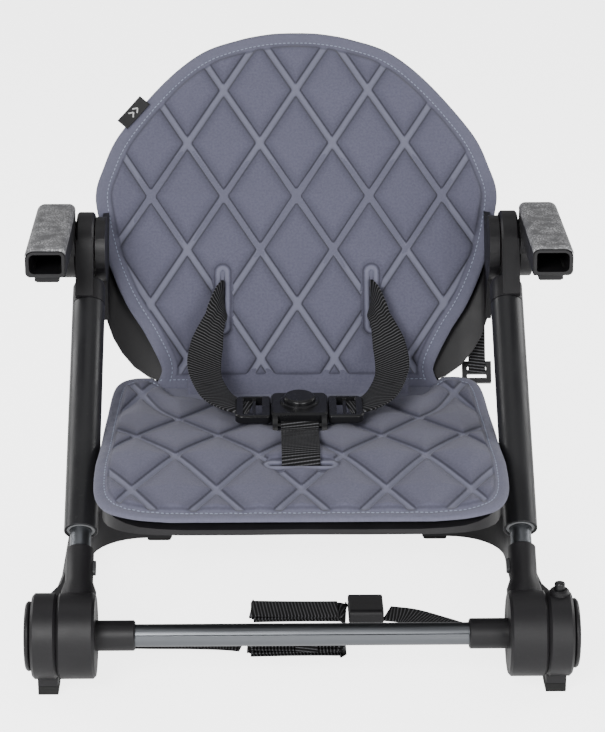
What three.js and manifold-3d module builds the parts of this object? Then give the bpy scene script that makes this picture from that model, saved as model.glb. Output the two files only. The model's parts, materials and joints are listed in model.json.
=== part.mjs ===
// Folding booster high chair for a baby: a padded seat and backrest hung between two telescopic
// legs that lean back from round fold hubs, on a U-shaped base. Millimetres, +Z up, the child faces -Y.
//
// Assembly frames used below:
//   chair     hub frame: y = 0 and z = HUB_Z on the fold axis of the lower hubs, z = 0 on the floor
//   leg       origin on the fold axis, local +Z up along the leaning legs
//   back      origin on the crease between seat and backrest, local +Z up the backrest, -Y out of its front
//   pan       origin on the crease, local -Y forward along the seat, +Z out of its top
import * as THREE from 'three';
import { mergeVertices } from 'three/addons/utils/BufferGeometryUtils.js';
import Module from 'manifold-3d';

const wasm = await Module();
wasm.setup();

// ---------------------------------------------------------------- driving dimensions
const GAP = 0.3; // clearance between separate pieces that touch
const BASE_CENTRE_Y = 184.4; // middle of the whole depth, measured from the fold axis

const LEG_X = 167; // leg axes, either side of the middle
const LEG_LEAN = THREE.MathUtils.degToRad(50); // from vertical, tops to the rear
const HUB_Z = 43; // height of the fold axis
const HUB_R = 32;
const HUB_IN = 153; // inner hub half, which turns with the leg
const HUB_SPLIT = 181;
const HUB_OUT = 200; // outer hub half, part of the base
const CAP_PROUD = 5;
const CAP_R = 26;
const BOLT_R = 5;

const STUB_IN = 124; // crossbar stub, inner end
const STUB_R = 11.4;
const BAR_R = 8.4; // front crossbar
const BAR_GRIP = 20; // length of the crossbar inside each stub

const SOCKET_R = 10.6;
const SNAP_PROUD = 1.8; // how far the spring button stands out of the socket
const SOCKET_TOP = 72; // distances up the leg from the fold axis
const TUBE_R = 8;
const TUBE_TOP = 235;
const TUBE_WALL = 1.5;
const SLEEVE_R = 13;
const SLEEVE_BORE = 11.2;
const SLEEVE_BOTTOM = 87;
const SLEEVE_TOP = 290;
const PIVOT_L = 344; // seat pivot, distance up the leg
const PIVOT_R = 30;
const BRACKET_IN = 163; // bracket plate, from inside to outside
const BRACKET_OUT = 177;

const BUTTON_X = 190.5; // round release button on top of the right hub
const BUTTON_R = 4;
const BUTTON_PROUD = 5.5;
const BUTTON_COLLAR = 3.5;

const BASE_TOP = 36;
const BASE_FLOOR = 3; // underside of the base frame, above the rubber feet
const ARM_IN = 172; // base side arm, inner face
const ARM_OUT = 188; // outer face, behind the waist that sets it in from the hub
const CORNER_R = 50; // outer rear corners of the base
const REAR_FRONT = 284; // rear bar of the base, front and back faces
const REAR_BACK = 324;
const ARCH_HALF = 106;
const ARCH_TOP = 16.5;
const FOOT_W = 15;
const FOOT_L = 26;

const CREASE_Y = 236; // line where seat and backrest surfaces meet
const CREASE_Z = 151;
const BACK_LEAN = THREE.MathUtils.degToRad(30.7); // from vertical
const PAN_SLOPE = THREE.MathUtils.degToRad(3.6); // front edge higher than the crease
const HINGE_Y = 10; // seat fold hinge, behind and below the crease
const HINGE_Z = -13;
const HINGE_R = 7;
const PIN_R = 3;
const PAD_T = 14; // thickness of the padded liner
const PAN_PAD_T = 10; // the same on the seat
const PAD_TAPER = 40; // length over which the pads thin towards the crease
const BACK_H = 302; // backrest surface above the crease
const PAN_L = 243; // seat surface ahead of the crease
const PAN_FLAT = 165; // its flat part, before it slopes down to the front edge
const PAN_DROP = 26; // how far the front edge lies below the flat part
const PAN_HALF = 152.2;

const WEB_T = 2.2; // harness webbing
const WEB_W = 30;

// ---------------------------------------------------------------- materials
const finish = (color, roughness, metalness = 0) => new THREE.MeshStandardMaterial({ color, roughness, metalness });
const BLACK_PLASTIC = finish(0x1b1b1d, 0.5);
const GREY_PLASTIC = finish(0x6d7072, 0.65);
const BLACK_TUBE = finish(0x18191b, 0.42);
const GREY_METAL = finish(0x8f9499, 0.35, 0.9);
const STEEL = finish(0xb8bcc0, 0.3, 1);
const PALE_NYLON = finish(0xc9cccd, 0.5);
const FABRIC = finish(0x6f7688, 0.95);
const WEBBING = finish(0x161617, 0.9);
const RUBBER = finish(0x202020, 0.9);
const LABEL = finish(0x101012, 0.8);

// ---------------------------------------------------------------- solids
function solid(geometry) {
  const bare = geometry.clone();
  bare.deleteAttribute('normal');
  bare.deleteAttribute('uv');
  const merged = mergeVertices(bare, 1e-3);
  const corners = Array.from(merged.index.array);
  const kept = [];
  for (let i = 0; i < corners.length; i += 3) {
    const [a, b, c] = corners.slice(i, i + 3);
    if (a !== b && b !== c && c !== a) kept.push(a, b, c);
  }
  const triVerts = new Uint32Array(kept);
  const vertProperties = new Float32Array(merged.attributes.position.array);
  return new wasm.Manifold(new wasm.Mesh({ numProp: 3, vertProperties, triVerts }));
}

function geometryOf(manifold) {
  const mesh = manifold.getMesh();
  const geometry = new THREE.BufferGeometry();
  geometry.setAttribute('position', new THREE.BufferAttribute(new Float32Array(mesh.vertProperties), 3));
  geometry.setIndex(new THREE.BufferAttribute(new Uint32Array(mesh.triVerts), 1));
  geometry.computeVertexNormals();
  return geometry;
}

const join = (...solids) => solids.reduce((sum, next) => sum.add(next));
const cut = (body, ...tools) => tools.reduce((rest, tool) => rest.subtract(tool), body);

// A box from its lowest to its highest corner.
function block([x0, y0, z0], [x1, y1, z1]) {
  const geometry = new THREE.BoxGeometry(x1 - x0, y1 - y0, z1 - z0);
  geometry.translate((x0 + x1) / 2, (y0 + y1) / 2, (z0 + z1) / 2);
  return solid(geometry);
}

// A turned solid about Z from [radius, height] pairs; the profile starts and ends on the axis.
function turned(profile, segments = 32) {
  const points = profile.map(([r, z]) => new THREE.Vector2(r, z));
  return solid(new THREE.LatheGeometry(points, segments).rotateX(Math.PI / 2));
}

// A cylinder along Z with small chamfers at both ends.
function rod(radius, z0, z1, { chamfer = 0, segments = 32 } = {}) {
  const c = chamfer;
  const ends = c
    ? [[0, z0], [radius - c, z0], [radius, z0 + c], [radius, z1 - c], [radius - c, z1], [0, z1]]
    : [[0, z0], [radius, z0], [radius, z1], [0, z1]];
  return turned(ends, segments);
}

// Turn a solid built along Z so that it runs along X, from x0 outward, at (y, z).
const alongX = (body, y = 0, z = 0) => body.rotate([0, 90, 0]).translate([0, y, z]);
const rodX = (radius, x0, x1, y, z, options) => alongX(rod(radius, x0, x1, options), y, z);

// A prism of an outline in the (y, z) side plane, from x0 to x1.
function sidePlate(shape, x0, x1, bevel = 0) {
  return solid(extrude(shape, x1 - x0, bevel).rotateY(Math.PI / 2).rotateX(Math.PI / 2)).translate([x0, 0, 0]);
}

// A prism of an outline in the (x, z) front plane, from y0 to y1.
function frontPlate(shape, y0, y1, bevel = 0) {
  return solid(extrude(shape, y1 - y0, bevel).rotateX(Math.PI / 2)).translate([0, y1, 0]);
}

// A prism of an outline in the (x, y) floor plane, from z0 to z1.
function floorPlate(shape, z0, z1, bevel = 0) {
  return solid(extrude(shape, z1 - z0, bevel)).translate([0, 0, z0]);
}

const CURVE_STEPS = 4;
function extrude(shape, depth, bevel) {
  const geometry = new THREE.ExtrudeGeometry(shape, {
    depth: depth - 2 * bevel,
    curveSegments: CURVE_STEPS,
    bevelEnabled: bevel > 0,
    bevelThickness: bevel,
    bevelSize: bevel,
    bevelOffset: -bevel,
    bevelSegments: 1,
  });
  return geometry.translate(0, 0, bevel);
}

// A rectangle with rounded corners; radii in the order lower left, lower right, upper right, upper left.
function roundedRect(x0, y0, x1, y1, radii) {
  const [a, b, c, d] = Array.isArray(radii) ? radii : [radii, radii, radii, radii];
  const shape = new THREE.Shape();
  shape.moveTo(x0 + a, y0);
  shape.lineTo(x1 - b, y0);
  shape.absarc(x1 - b, y0 + b, b, -Math.PI / 2, 0);
  shape.lineTo(x1, y1 - c);
  shape.absarc(x1 - c, y1 - c, c, 0, Math.PI / 2);
  shape.lineTo(x0 + d, y1);
  shape.absarc(x0 + d, y1 - d, d, Math.PI / 2, Math.PI);
  shape.lineTo(x0, y0 + a);
  shape.absarc(x0 + a, y0 + a, a, Math.PI, Math.PI * 1.5);
  return shape;
}

// A left-right symmetric outline through [half width, height] points, smooth, closed across the middle.
function symmetricOutline(halfPoints) {
  const right = new THREE.CatmullRomCurve3(halfPoints.map(([x, y]) => new THREE.Vector3(x, y, 0)), false, 'centripetal');
  const samples = right.getPoints(halfPoints.length * 2).map((p) => new THREE.Vector2(p.x, p.y));
  const left = samples.slice().reverse().map((p) => new THREE.Vector2(-p.x, p.y));
  return new THREE.Shape([...samples, ...left].filter((p, i, all) => i === 0 || p.distanceTo(all[i - 1]) > 0.2));
}

// A flat ribbon through [centre, direction of its width] sections.
function ribbon(sections, width, thickness) {
  const points = sections.map(([centre]) => new THREE.Vector3(...centre));
  const positions = [];
  const index = [];
  sections.forEach(([, across], i) => {
    const along = points[Math.min(i + 1, points.length - 1)].clone().sub(points[Math.max(i - 1, 0)]).normalize();
    const side = new THREE.Vector3(...across);
    side.addScaledVector(along, -side.dot(along)).setLength(width / 2);
    const up = new THREE.Vector3().crossVectors(along, side).setLength(thickness / 2);
    for (const [u, v] of [[-1, -1], [1, -1], [1, 1], [-1, 1]]) {
      const corner = points[i].clone().addScaledVector(side, u).addScaledVector(up, v);
      positions.push(corner.x, corner.y, corner.z);
    }
  });
  const last = (sections.length - 1) * 4;
  for (let ring = 0; ring < last; ring += 4) {
    for (let k = 0; k < 4; k++) {
      const a = ring + k;
      const b = ring + ((k + 1) % 4);
      index.push(a, b, b + 4, a, b + 4, a + 4);
    }
  }
  index.push(0, 2, 1, 0, 3, 2, last, last + 1, last + 2, last, last + 2, last + 3);
  const geometry = new THREE.BufferGeometry();
  geometry.setAttribute('position', new THREE.BufferAttribute(new Float32Array(positions), 3));
  geometry.setIndex(index);
  return solid(geometry);
}

// ---------------------------------------------------------------- scene graph
const chair = new THREE.Group();
chair.position.y = -BASE_CENTRE_Y;

function frameAt(y, z, lean) {
  const frame = new THREE.Group();
  frame.position.set(0, y, z);
  frame.rotation.x = -lean;
  chair.add(frame);
  return frame;
}
const hubFrame = frameAt(0, 0, 0);
const legFrame = frameAt(0, HUB_Z, LEG_LEAN);
const backFrame = frameAt(CREASE_Y, CREASE_Z, BACK_LEAN);
const panFrame = frameAt(CREASE_Y, CREASE_Z, PAN_SLOPE);

function piece(frame, name, body, material) {
  const mesh = new THREE.Mesh(geometryOf(body), material);
  mesh.name = name;
  frame.add(mesh);
}

// The left piece, at -x, and its mirror image on the right.
function pair(frame, name, rightBody, material) {
  piece(frame, `${name}_right`, rightBody, material);
  piece(frame, `${name}_left`, rightBody.mirror([1, 0, 0]), material);
}

// Move a side-view point of the chair into a leaning frame.
function inFrame(frame, y, z) {
  const dy = y - frame.position.y;
  const dz = z - frame.position.z;
  const lean = -frame.rotation.x;
  return [dy * Math.cos(lean) - dz * Math.sin(lean), dy * Math.sin(lean) + dz * Math.cos(lean)];
}
const PIVOT_Y = PIVOT_L * Math.sin(LEG_LEAN);
const PIVOT_Z = HUB_Z + PIVOT_L * Math.cos(LEG_LEAN);

// ---------------------------------------------------------------- base
function baseFrame() {
  const inner = new THREE.Shape();
  inner.moveTo(-ARM_IN, 52);
  inner.lineTo(ARM_IN, 52);
  inner.lineTo(ARM_IN, REAR_FRONT - 46);
  inner.absarc(ARM_IN - 46, REAR_FRONT - 46, 46, 0, Math.PI / 2);
  inner.lineTo(-ARM_IN + 46, REAR_FRONT);
  inner.absarc(-ARM_IN + 46, REAR_FRONT - 46, 46, Math.PI / 2, Math.PI);
  const outer = new THREE.Shape();
  outer.moveTo(-HUB_OUT, 22);
  outer.lineTo(HUB_OUT, 22);
  outer.lineTo(HUB_OUT, 72);
  outer.bezierCurveTo(HUB_OUT, 104, ARM_OUT, 98, ARM_OUT, 134);
  outer.lineTo(ARM_OUT, REAR_BACK - CORNER_R);
  outer.absarc(ARM_OUT - CORNER_R, REAR_BACK - CORNER_R, CORNER_R, 0, Math.PI / 2);
  outer.lineTo(-ARM_OUT + CORNER_R, REAR_BACK);
  outer.absarc(-ARM_OUT + CORNER_R, REAR_BACK - CORNER_R, CORNER_R, Math.PI / 2, Math.PI);
  outer.lineTo(-ARM_OUT, 134);
  outer.bezierCurveTo(-ARM_OUT, 98, -HUB_OUT, 104, -HUB_OUT, 72);
  outer.lineTo(-HUB_OUT, 22);
  const band = cut(
    floorPlate(outer, BASE_FLOOR, BASE_TOP, 2.5),
    floorPlate(inner, BASE_FLOOR - 1, BASE_TOP + 1),
    block([-HUB_SPLIT - GAP, 0, 0], [HUB_SPLIT + GAP, 53, BASE_TOP + 1]),
    block([-ARCH_HALF, REAR_FRONT - 1, 0], [ARCH_HALF, REAR_BACK + 1, ARCH_TOP]),
  );
  const webShape = new THREE.Shape();
  webShape.moveTo(0, 14);
  webShape.lineTo(15, 12);
  webShape.lineTo(26, BASE_FLOOR);
  webShape.lineTo(70, BASE_FLOOR);
  webShape.lineTo(70, BASE_TOP - 2);
  webShape.quadraticCurveTo(44, BASE_TOP + 2, 24, HUB_Z + HUB_R * 0.68);
  webShape.lineTo(0, HUB_Z);
  const arm = join(
    sidePlate(webShape, HUB_SPLIT + GAP, HUB_OUT - 1),
    rodX(HUB_R, HUB_SPLIT + GAP, HUB_OUT, 0, HUB_Z, { chamfer: 2, segments: 36 }),
    block([HUB_SPLIT + GAP, -13, 8], [HUB_SPLIT + GAP + FOOT_W, 13, HUB_Z]),
  );
  const bolt = rodX(BOLT_R + GAP, HUB_SPLIT - 1, HUB_OUT + 1, 0, HUB_Z);
  const headRoom = rodX(BOLT_R * 2 + GAP, HUB_OUT - 6, HUB_OUT + 1, 0, HUB_Z);
  const side = cut(arm, bolt, headRoom);
  const well = rod(4.4, HUB_Z + 18, HUB_Z + HUB_R + 12).translate([BUTTON_X, 0, 0]);
  const collar = rod(7.2, HUB_Z + 24, HUB_Z + HUB_R + BUTTON_COLLAR, { chamfer: 1 }).translate([BUTTON_X, 0, 0]);
  const whole = join(band, side, side.mirror([1, 0, 0]), collar);
  return cut(whole, well, block([-160, REAR_FRONT + 8, BASE_FLOOR - 1], [-128, REAR_BACK - 8, BASE_FLOOR + 0.01]));
}
piece(hubFrame, 'base_frame', baseFrame(), BLACK_PLASTIC);
pair(hubFrame, 'hub_cap', rodX(CAP_R, HUB_OUT + GAP, HUB_OUT + CAP_PROUD, 0, HUB_Z, { chamfer: 1.6, segments: 32 }), BLACK_PLASTIC);
pair(
  hubFrame,
  'hub_bolt',
  join(rodX(BOLT_R, HUB_IN + 9, HUB_OUT - 2, 0, HUB_Z, { segments: 24 }), rodX(BOLT_R * 2, HUB_OUT - 5.5, HUB_OUT - 1.5, 0, HUB_Z, { segments: 24 })),
  STEEL,
);
{
  const profile = roundedRect(-FOOT_L / 2, 0, FOOT_L / 2, 8 - GAP, [3, 3, 0.5, 0.5]);
  pair(hubFrame, 'front_foot', sidePlate(profile, HUB_SPLIT + GAP, HUB_SPLIT + GAP + FOOT_W), RUBBER);
  const rear = roundedRect(ARCH_HALF + 1, REAR_FRONT + 1, ARCH_HALF + 21, REAR_BACK - 4, 3);
  pair(hubFrame, 'rear_foot', floorPlate(rear, 0, BASE_FLOOR - GAP), RUBBER);
}
piece(
  hubFrame,
  'release_button',
  rod(BUTTON_R, HUB_Z + HUB_R - 6, HUB_Z + HUB_R + BUTTON_COLLAR + BUTTON_PROUD, { chamfer: 0.8, segments: 24 }).translate([BUTTON_X, 0, 0]),
  BLACK_PLASTIC,
);

// ---------------------------------------------------------------- legs
function legHub() {
  const drum = rodX(HUB_R, HUB_IN, HUB_SPLIT, 0, 0, { chamfer: 2, segments: 36 });
  const stub = rodX(STUB_R, STUB_IN, HUB_IN + 4, 0, 0, { chamfer: 1, segments: 32 });
  const socket = rod(SOCKET_R, 0, SOCKET_TOP, { chamfer: 1, segments: 32 }).translate([LEG_X, 0, 0]);
  const collar = turned([[0, 20], [SOCKET_R + 2.6, 20], [SOCKET_R + 2.6, HUB_R + 4], [SOCKET_R, HUB_R + 12], [0, HUB_R + 12]]);
  return cut(
    join(drum, stub, socket, collar.translate([LEG_X, 0, 0])),
    rod(TUBE_R + GAP, HUB_R + 2, SOCKET_TOP + 1).translate([LEG_X, 0, 0]),
    rodX(BAR_R + GAP, STUB_IN - 1, STUB_IN + BAR_GRIP + GAP, 0, 0),
    rodX(BOLT_R + GAP, HUB_IN + 9 - GAP, HUB_SPLIT + 1, 0, 0, { segments: 24 }),
    snapButton(GAP),
  );
}

// The spring button that holds the leg tube in its socket, on the socket's inner side.
function snapButton(extra = 0) {
  const z = SOCKET_TOP - 16;
  const shape = roundedRect(-3 - extra, z - 6 - extra, 3 + extra, z + 6 + extra, 3 + extra);
  const outer = LEG_X - SOCKET_R - SNAP_PROUD - (extra ? 2 : 0);
  return sidePlate(shape, outer, LEG_X - TUBE_R + 4 + extra);
}

const tube = cut(
  rod(TUBE_R, HUB_R + 3, TUBE_TOP).translate([LEG_X, 0, 0]),
  rod(TUBE_R - TUBE_WALL, HUB_R + 2, TUBE_TOP + 1).translate([LEG_X, 0, 0]),
  snapButton(GAP),
);
pair(legFrame, 'leg_hub', legHub(), BLACK_PLASTIC);
pair(legFrame, 'leg_tube', tube, GREY_METAL);
pair(legFrame, 'snap_button', snapButton(), GREY_PLASTIC);

function crossbar() {
  const ridge = block([-STUB_IN + 0.5, -BAR_R - 0.7, 1.2], [STUB_IN - 0.5, -BAR_R + 2, 3.4]);
  const half = STUB_IN + BAR_GRIP;
  const bore = rodX(BAR_R - 1.4, -half - 1, half + 1, 0, 0);
  return cut(join(rodX(BAR_R, -half, half, 0, 0), ridge), bore).translate([0, 0, HUB_Z]);
}
piece(hubFrame, 'crossbar', crossbar(), GREY_METAL);

// ---------------------------------------------------------------- carriage that slides up the legs
const BRACKET_PLUG = 30;
const DOME = 9;

const sleeve = cut(
  rod(SLEEVE_R, SLEEVE_BOTTOM, SLEEVE_TOP, { segments: 36 }),
  rod(SLEEVE_BORE, SLEEVE_BOTTOM - 1, SLEEVE_TOP + 1, { segments: 36 }),
);
const bushing = cut(
  rod(SLEEVE_BORE - GAP, SLEEVE_BOTTOM + 0.6, SLEEVE_BOTTOM + 19),
  rod(TUBE_R + GAP, SLEEVE_BOTTOM - 1, SLEEVE_BOTTOM + 20),
);
pair(legFrame, 'leg_sleeve', sleeve.translate([LEG_X, 0, 0]), BLACK_TUBE);
pair(legFrame, 'sleeve_bushing', bushing.translate([LEG_X, 0, 0]), PALE_NYLON);

function bracket() {
  const start = SLEEVE_TOP + GAP;
  const shoulder = start + 16;
  const dome = turned([
    [0, start],
    [SLEEVE_R, start],
    [SLEEVE_R, shoulder],
    [SLEEVE_R * 0.87, shoulder + DOME * 0.5],
    [SLEEVE_R * 0.5, shoulder + DOME * 0.87],
    [0, shoulder + DOME],
  ]);
  const plug = rod(SLEEVE_BORE - GAP, start - BRACKET_PLUG, start + 2);
  const neck = new THREE.Shape();
  neck.moveTo(-SLEEVE_R, start + 1);
  neck.lineTo(SLEEVE_R, start + 1);
  neck.lineTo(PIVOT_R * 0.93, PIVOT_L - 10);
  neck.lineTo(-PIVOT_R * 0.93, PIVOT_L - 10);
  const body = join(
    dome.translate([LEG_X, 0, 0]),
    plug.translate([LEG_X, 0, 0]),
    sidePlate(neck, BRACKET_IN, BRACKET_OUT),
    rodX(PIVOT_R, BRACKET_IN, BRACKET_OUT, 0, PIVOT_L, { chamfer: 1.5, segments: 36 }),
  );
  const earRoom = rodX(PIVOT_R + 1, HUB_IN - 2, BRACKET_IN, 0, PIVOT_L, { segments: 36 });
  return cut(body, earRoom, rodX(BOLT_R + GAP, BRACKET_IN - 1, BRACKET_OUT + 1, 0, PIVOT_L, { segments: 24 }));
}
pair(legFrame, 'pivot_bracket', bracket(), BLACK_PLASTIC);

// ---------------------------------------------------------------- armrests
const ARM_X0 = BRACKET_OUT + GAP + 0.7;
const ARM_X1 = 209;
const ARM_Y0 = 136;
const ARM_Y1 = 260;
const ARM_Z0 = 279;
const ARM_Z1 = 303;
const COVER_T = 2.5;
const SOCKET_DEPTH = 100;
const SOCKET_WALL = 3;

// D-shaped section of an armrest: flat below, crowned above.
function armSection(inset = 0, top = ARM_Z1 - COVER_T - GAP) {
  return roundedRect(ARM_X0 + inset, ARM_Z0 + inset, ARM_X1 - inset, top - inset, [2, 4, 7 - inset, 5 - inset]);
}

function armrest() {
  const box = frontPlate(armSection(), ARM_Y0, ARM_Y1, 1);
  const hollow = frontPlate(armSection(SOCKET_WALL), ARM_Y0 - 1, ARM_Y0 + SOCKET_DEPTH);
  const lug = new THREE.Shape();
  lug.absarc(PIVOT_Y, PIVOT_Z, 22, Math.PI, 0, false);
  lug.lineTo(ARM_Y1 - 2, ARM_Z0 + 6);
  lug.lineTo(PIVOT_Y - 34, ARM_Z0 + 6);
  const drum = rodX(23, ARM_X0, ARM_X0 + 11, PIVOT_Y, PIVOT_Z, { chamfer: 1, segments: 36 });
  const body = join(box, sidePlate(lug, ARM_X0, ARM_X0 + 11), drum);
  const slot = block([ARM_X0 + 5, ARM_Y0 + 12, ARM_Z0 - 1], [ARM_X1 - 5, ARM_Y0 + 78, ARM_Z0 + SOCKET_WALL + 1]);
  return cut(
    body,
    hollow,
    slot,
    rodX(BOLT_R + GAP, ARM_X0 - 1, ARM_X0 + 12, PIVOT_Y, PIVOT_Z, { segments: 24 }),
    rodX(9 + GAP, ARM_X0 + 7, ARM_X0 + 12, PIVOT_Y, PIVOT_Z, { segments: 24 }),
  );
}

function armrestCover() {
  const cap = frontPlate(armSection(0, ARM_Z1), ARM_Y0 - 1, ARM_Y1 + 1, 1);
  const under = block([ARM_X0 - 1, ARM_Y0 - 2, ARM_Z0 - 2], [ARM_X1 + 1, ARM_Y1 + 2, ARM_Z1 - COVER_T - 5]);
  const core = frontPlate(armSection(-GAP), ARM_Y0 - 3, ARM_Y1 + 3);
  return cut(cap, under, core);
}

// Squeeze lever under the front of an armrest, which frees the height lock.
const TRIGGER_Y0 = ARM_Y0 + 13;
const TRIGGER_Y1 = ARM_Y0 + 70;
function trigger() {
  const shape = new THREE.Shape();
  shape.moveTo(TRIGGER_Y1, ARM_Z0 - 0.5);
  shape.lineTo(TRIGGER_Y1, ARM_Z0 + 2.6);
  shape.lineTo(TRIGGER_Y0, ARM_Z0 + 1);
  shape.lineTo(TRIGGER_Y0, ARM_Z0 - 7);
  shape.quadraticCurveTo(TRIGGER_Y0 + 8, ARM_Z0 - 8, TRIGGER_Y0 + 16, ARM_Z0 - 5);
  const ribs = [0, 1, 2, 3].map((i) => {
    const y = TRIGGER_Y0 + 3 + i * 4;
    return block([ARM_X0 + 7, y, ARM_Z0 - 8.6], [ARM_X1 - 7, y + 1.6, ARM_Z0 - 4]);
  });
  return join(sidePlate(shape, ARM_X0 + 6, ARM_X1 - 6), ...ribs);
}

pair(hubFrame, 'armrest', armrest(), BLACK_PLASTIC);
pair(hubFrame, 'armrest_cover', armrestCover(), GREY_PLASTIC);
pair(hubFrame, 'height_trigger', trigger(), BLACK_PLASTIC);
pair(
  hubFrame,
  'pivot_bolt',
  join(
    rodX(BOLT_R, HUB_IN + 5, ARM_X0 + 9, PIVOT_Y, PIVOT_Z, { segments: 24 }),
    rodX(9, ARM_X0 + 7 + GAP, ARM_X0 + 10.5, PIVOT_Y, PIVOT_Z, { segments: 24 }),
  ),
  STEEL,
);

// ---------------------------------------------------------------- backrest
const [EAR_Y, EAR_Z] = inFrame(backFrame, PIVOT_Y, PIVOT_Z);
const [BACK_HINGE_Y, BACK_HINGE_Z] = inFrame(backFrame, CREASE_Y + HINGE_Y, CREASE_Z + HINGE_Z);
const [PAN_HINGE_Y, PAN_HINGE_Z] = inFrame(panFrame, CREASE_Y + HINGE_Y, CREASE_Z + HINGE_Z);
const BACK_LUGS = [[84, 94], [106, 116]];
const PAN_LUG = [95, 105];
const SLOT_X = 61; // waist strap slots in the backrest
const SLOT_Z0 = 53;
const SLOT_Z1 = 102;
const SLOT_W = 7;
const SHELL_T = 4;
const SHELL_HALF = 161;
const SHELL_Y = PAD_T + GAP; // front face of the shell, behind the pad
const TUB_CURL = 10; // how far its sides curve forward

const BACK_OUTLINE = [
  [0, 6], [96, 6], [104, 14], [122, 48], [139, 76], [151, 108], [160, 146], [163.5, 168], [158, 190],
  [144, 216], [112, 258], [80, 285], [42, 298], [0, BACK_H],
];
const SHELL_OUTLINE = [
  [0, 8], [92, 8], [126, 18], [148, 42], [158, 70], [161, 110], [158, 150], [151, 184], [136, 214],
  [106, 254], [75, 279], [40, 291], [0, BACK_H - 7],
];

function slots(y0, y1) {
  const one = frontPlate(roundedRect(SLOT_X - SLOT_W / 2, SLOT_Z0, SLOT_X + SLOT_W / 2, SLOT_Z1, SLOT_W / 2 - 0.1), y0, y1);
  return [one, one.mirror([1, 0, 0])];
}

// A hinge knuckle with a web that reaches to (toY, toZ).
function hingeLug(x0, x1, y, z, toY, toZ) {
  const half = HINGE_R - 2.5;
  const along = new THREE.Vector2(toY - y, toZ - z).normalize();
  const side = new THREE.Vector2(-along.y, along.x).multiplyScalar(half);
  const web = new THREE.Shape([
    new THREE.Vector2(y - side.x, z - side.y),
    new THREE.Vector2(toY - side.x, toZ - side.y),
    new THREE.Vector2(toY + side.x, toZ + side.y),
    new THREE.Vector2(y + side.x, z + side.y),
  ]);
  return join(sidePlate(web, x0, x1), rodX(HINGE_R, x0, x1, y, z, { segments: 24 }));
}

// Cross-section of the tub: flat behind the pad, its sides curving forward.
function tubSection() {
  const rear = SHELL_Y + SHELL_T;
  const tip = SHELL_Y - TUB_CURL;
  const section = new THREE.Shape();
  section.moveTo(-118, SHELL_Y);
  section.lineTo(118, SHELL_Y);
  section.quadraticCurveTo(148, SHELL_Y, SHELL_HALF - 4, tip);
  section.lineTo(SHELL_HALF, tip + 1);
  section.quadraticCurveTo(SHELL_HALF - 8, rear, 118, rear);
  section.lineTo(-118, rear);
  section.quadraticCurveTo(-SHELL_HALF + 8, rear, -SHELL_HALF, tip + 1);
  section.lineTo(-SHELL_HALF + 4, tip);
  section.quadraticCurveTo(-148, SHELL_Y, -118, SHELL_Y);
  return section;
}

// Everything behind the tub's front face, which the pad stays clear of.
function behindTub() {
  const tip = SHELL_Y - TUB_CURL;
  const section = new THREE.Shape();
  section.moveTo(-118, SHELL_Y);
  section.lineTo(118, SHELL_Y);
  section.quadraticCurveTo(148, SHELL_Y, SHELL_HALF - 4, tip);
  section.lineTo(SHELL_HALF + 20, tip);
  section.lineTo(SHELL_HALF + 20, 60);
  section.lineTo(-SHELL_HALF - 20, 60);
  section.lineTo(-SHELL_HALF - 20, tip);
  section.lineTo(-SHELL_HALF + 4, tip);
  section.quadraticCurveTo(-148, SHELL_Y, -118, SHELL_Y);
  const outline = SHELL_OUTLINE.map(([x, z]) => [x * 1.01, z + (z > 100 ? 1 : -1)]);
  return floorPlate(section, 0, BACK_H + 4).intersect(frontPlate(symmetricOutline(outline), -60, 60));
}

function backShell() {
  const tub = floorPlate(tubSection(), 0, BACK_H + 4).intersect(frontPlate(symmetricOutline(SHELL_OUTLINE), -60, 60));
  const ear = new THREE.Shape();
  ear.moveTo(8, EAR_Z + 46);
  ear.lineTo(EAR_Y + 12, EAR_Z + 23);
  ear.absarc(EAR_Y, EAR_Z, 26, Math.PI * 0.35, Math.PI * 1.6, false);
  ear.lineTo(6, EAR_Z - 50);
  const boss = rodX(26, HUB_IN + 1, BRACKET_IN - 1, EAR_Y, EAR_Z, { segments: 32 });
  const lugs = BACK_LUGS.map(([x0, x1]) => hingeLug(x0, x1, BACK_HINGE_Y, BACK_HINGE_Z, SHELL_Y + SHELL_T / 2 + 5, 16));
  const ribs = [40, 100].map((x) => block([x, SHELL_Y + SHELL_T - 1, 16], [x + 3, SHELL_Y + SHELL_T + 8, 210]));
  const right = cut(
    join(sidePlate(ear, HUB_IN + 1, HUB_IN + 6), boss, ...lugs, ...ribs),
    rodX(BOLT_R + GAP, HUB_IN + 5 - GAP, BRACKET_IN + 1, EAR_Y, EAR_Z, { segments: 24 }),
    rodX(PIN_R + GAP, BACK_LUGS[0][0] - 1, BACK_LUGS[1][1] + 1, BACK_HINGE_Y, BACK_HINGE_Z, { segments: 20 }),
  );
  return cut(join(tub, right, right.mirror([1, 0, 0])), ...slots(SHELL_Y - 1, SHELL_Y + SHELL_T + 10));
}

function backPad() {
  const body = frontPlate(symmetricOutline(BACK_OUTLINE), 0, PAD_T, 3);
  const taper = new THREE.Shape([
    new THREE.Vector2(-1, PAD_TAPER + 3),
    new THREE.Vector2(-1, 0),
    new THREE.Vector2(PAD_T + 1, 0),
    new THREE.Vector2(PAD_T + 1, 5),
  ]);
  const tubRoom = behindTub().translate([0, -GAP, 0]);
  const earRoom = block([HUB_IN + 1 - GAP, -90, EAR_Z - 60], [200, 60, EAR_Z + 60]);
  return cut(body, sidePlate(taper, -200, 200), tubRoom, earRoom, earRoom.mirror([1, 0, 0]), ...slots(-1, PAD_T + 1));
}

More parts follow.
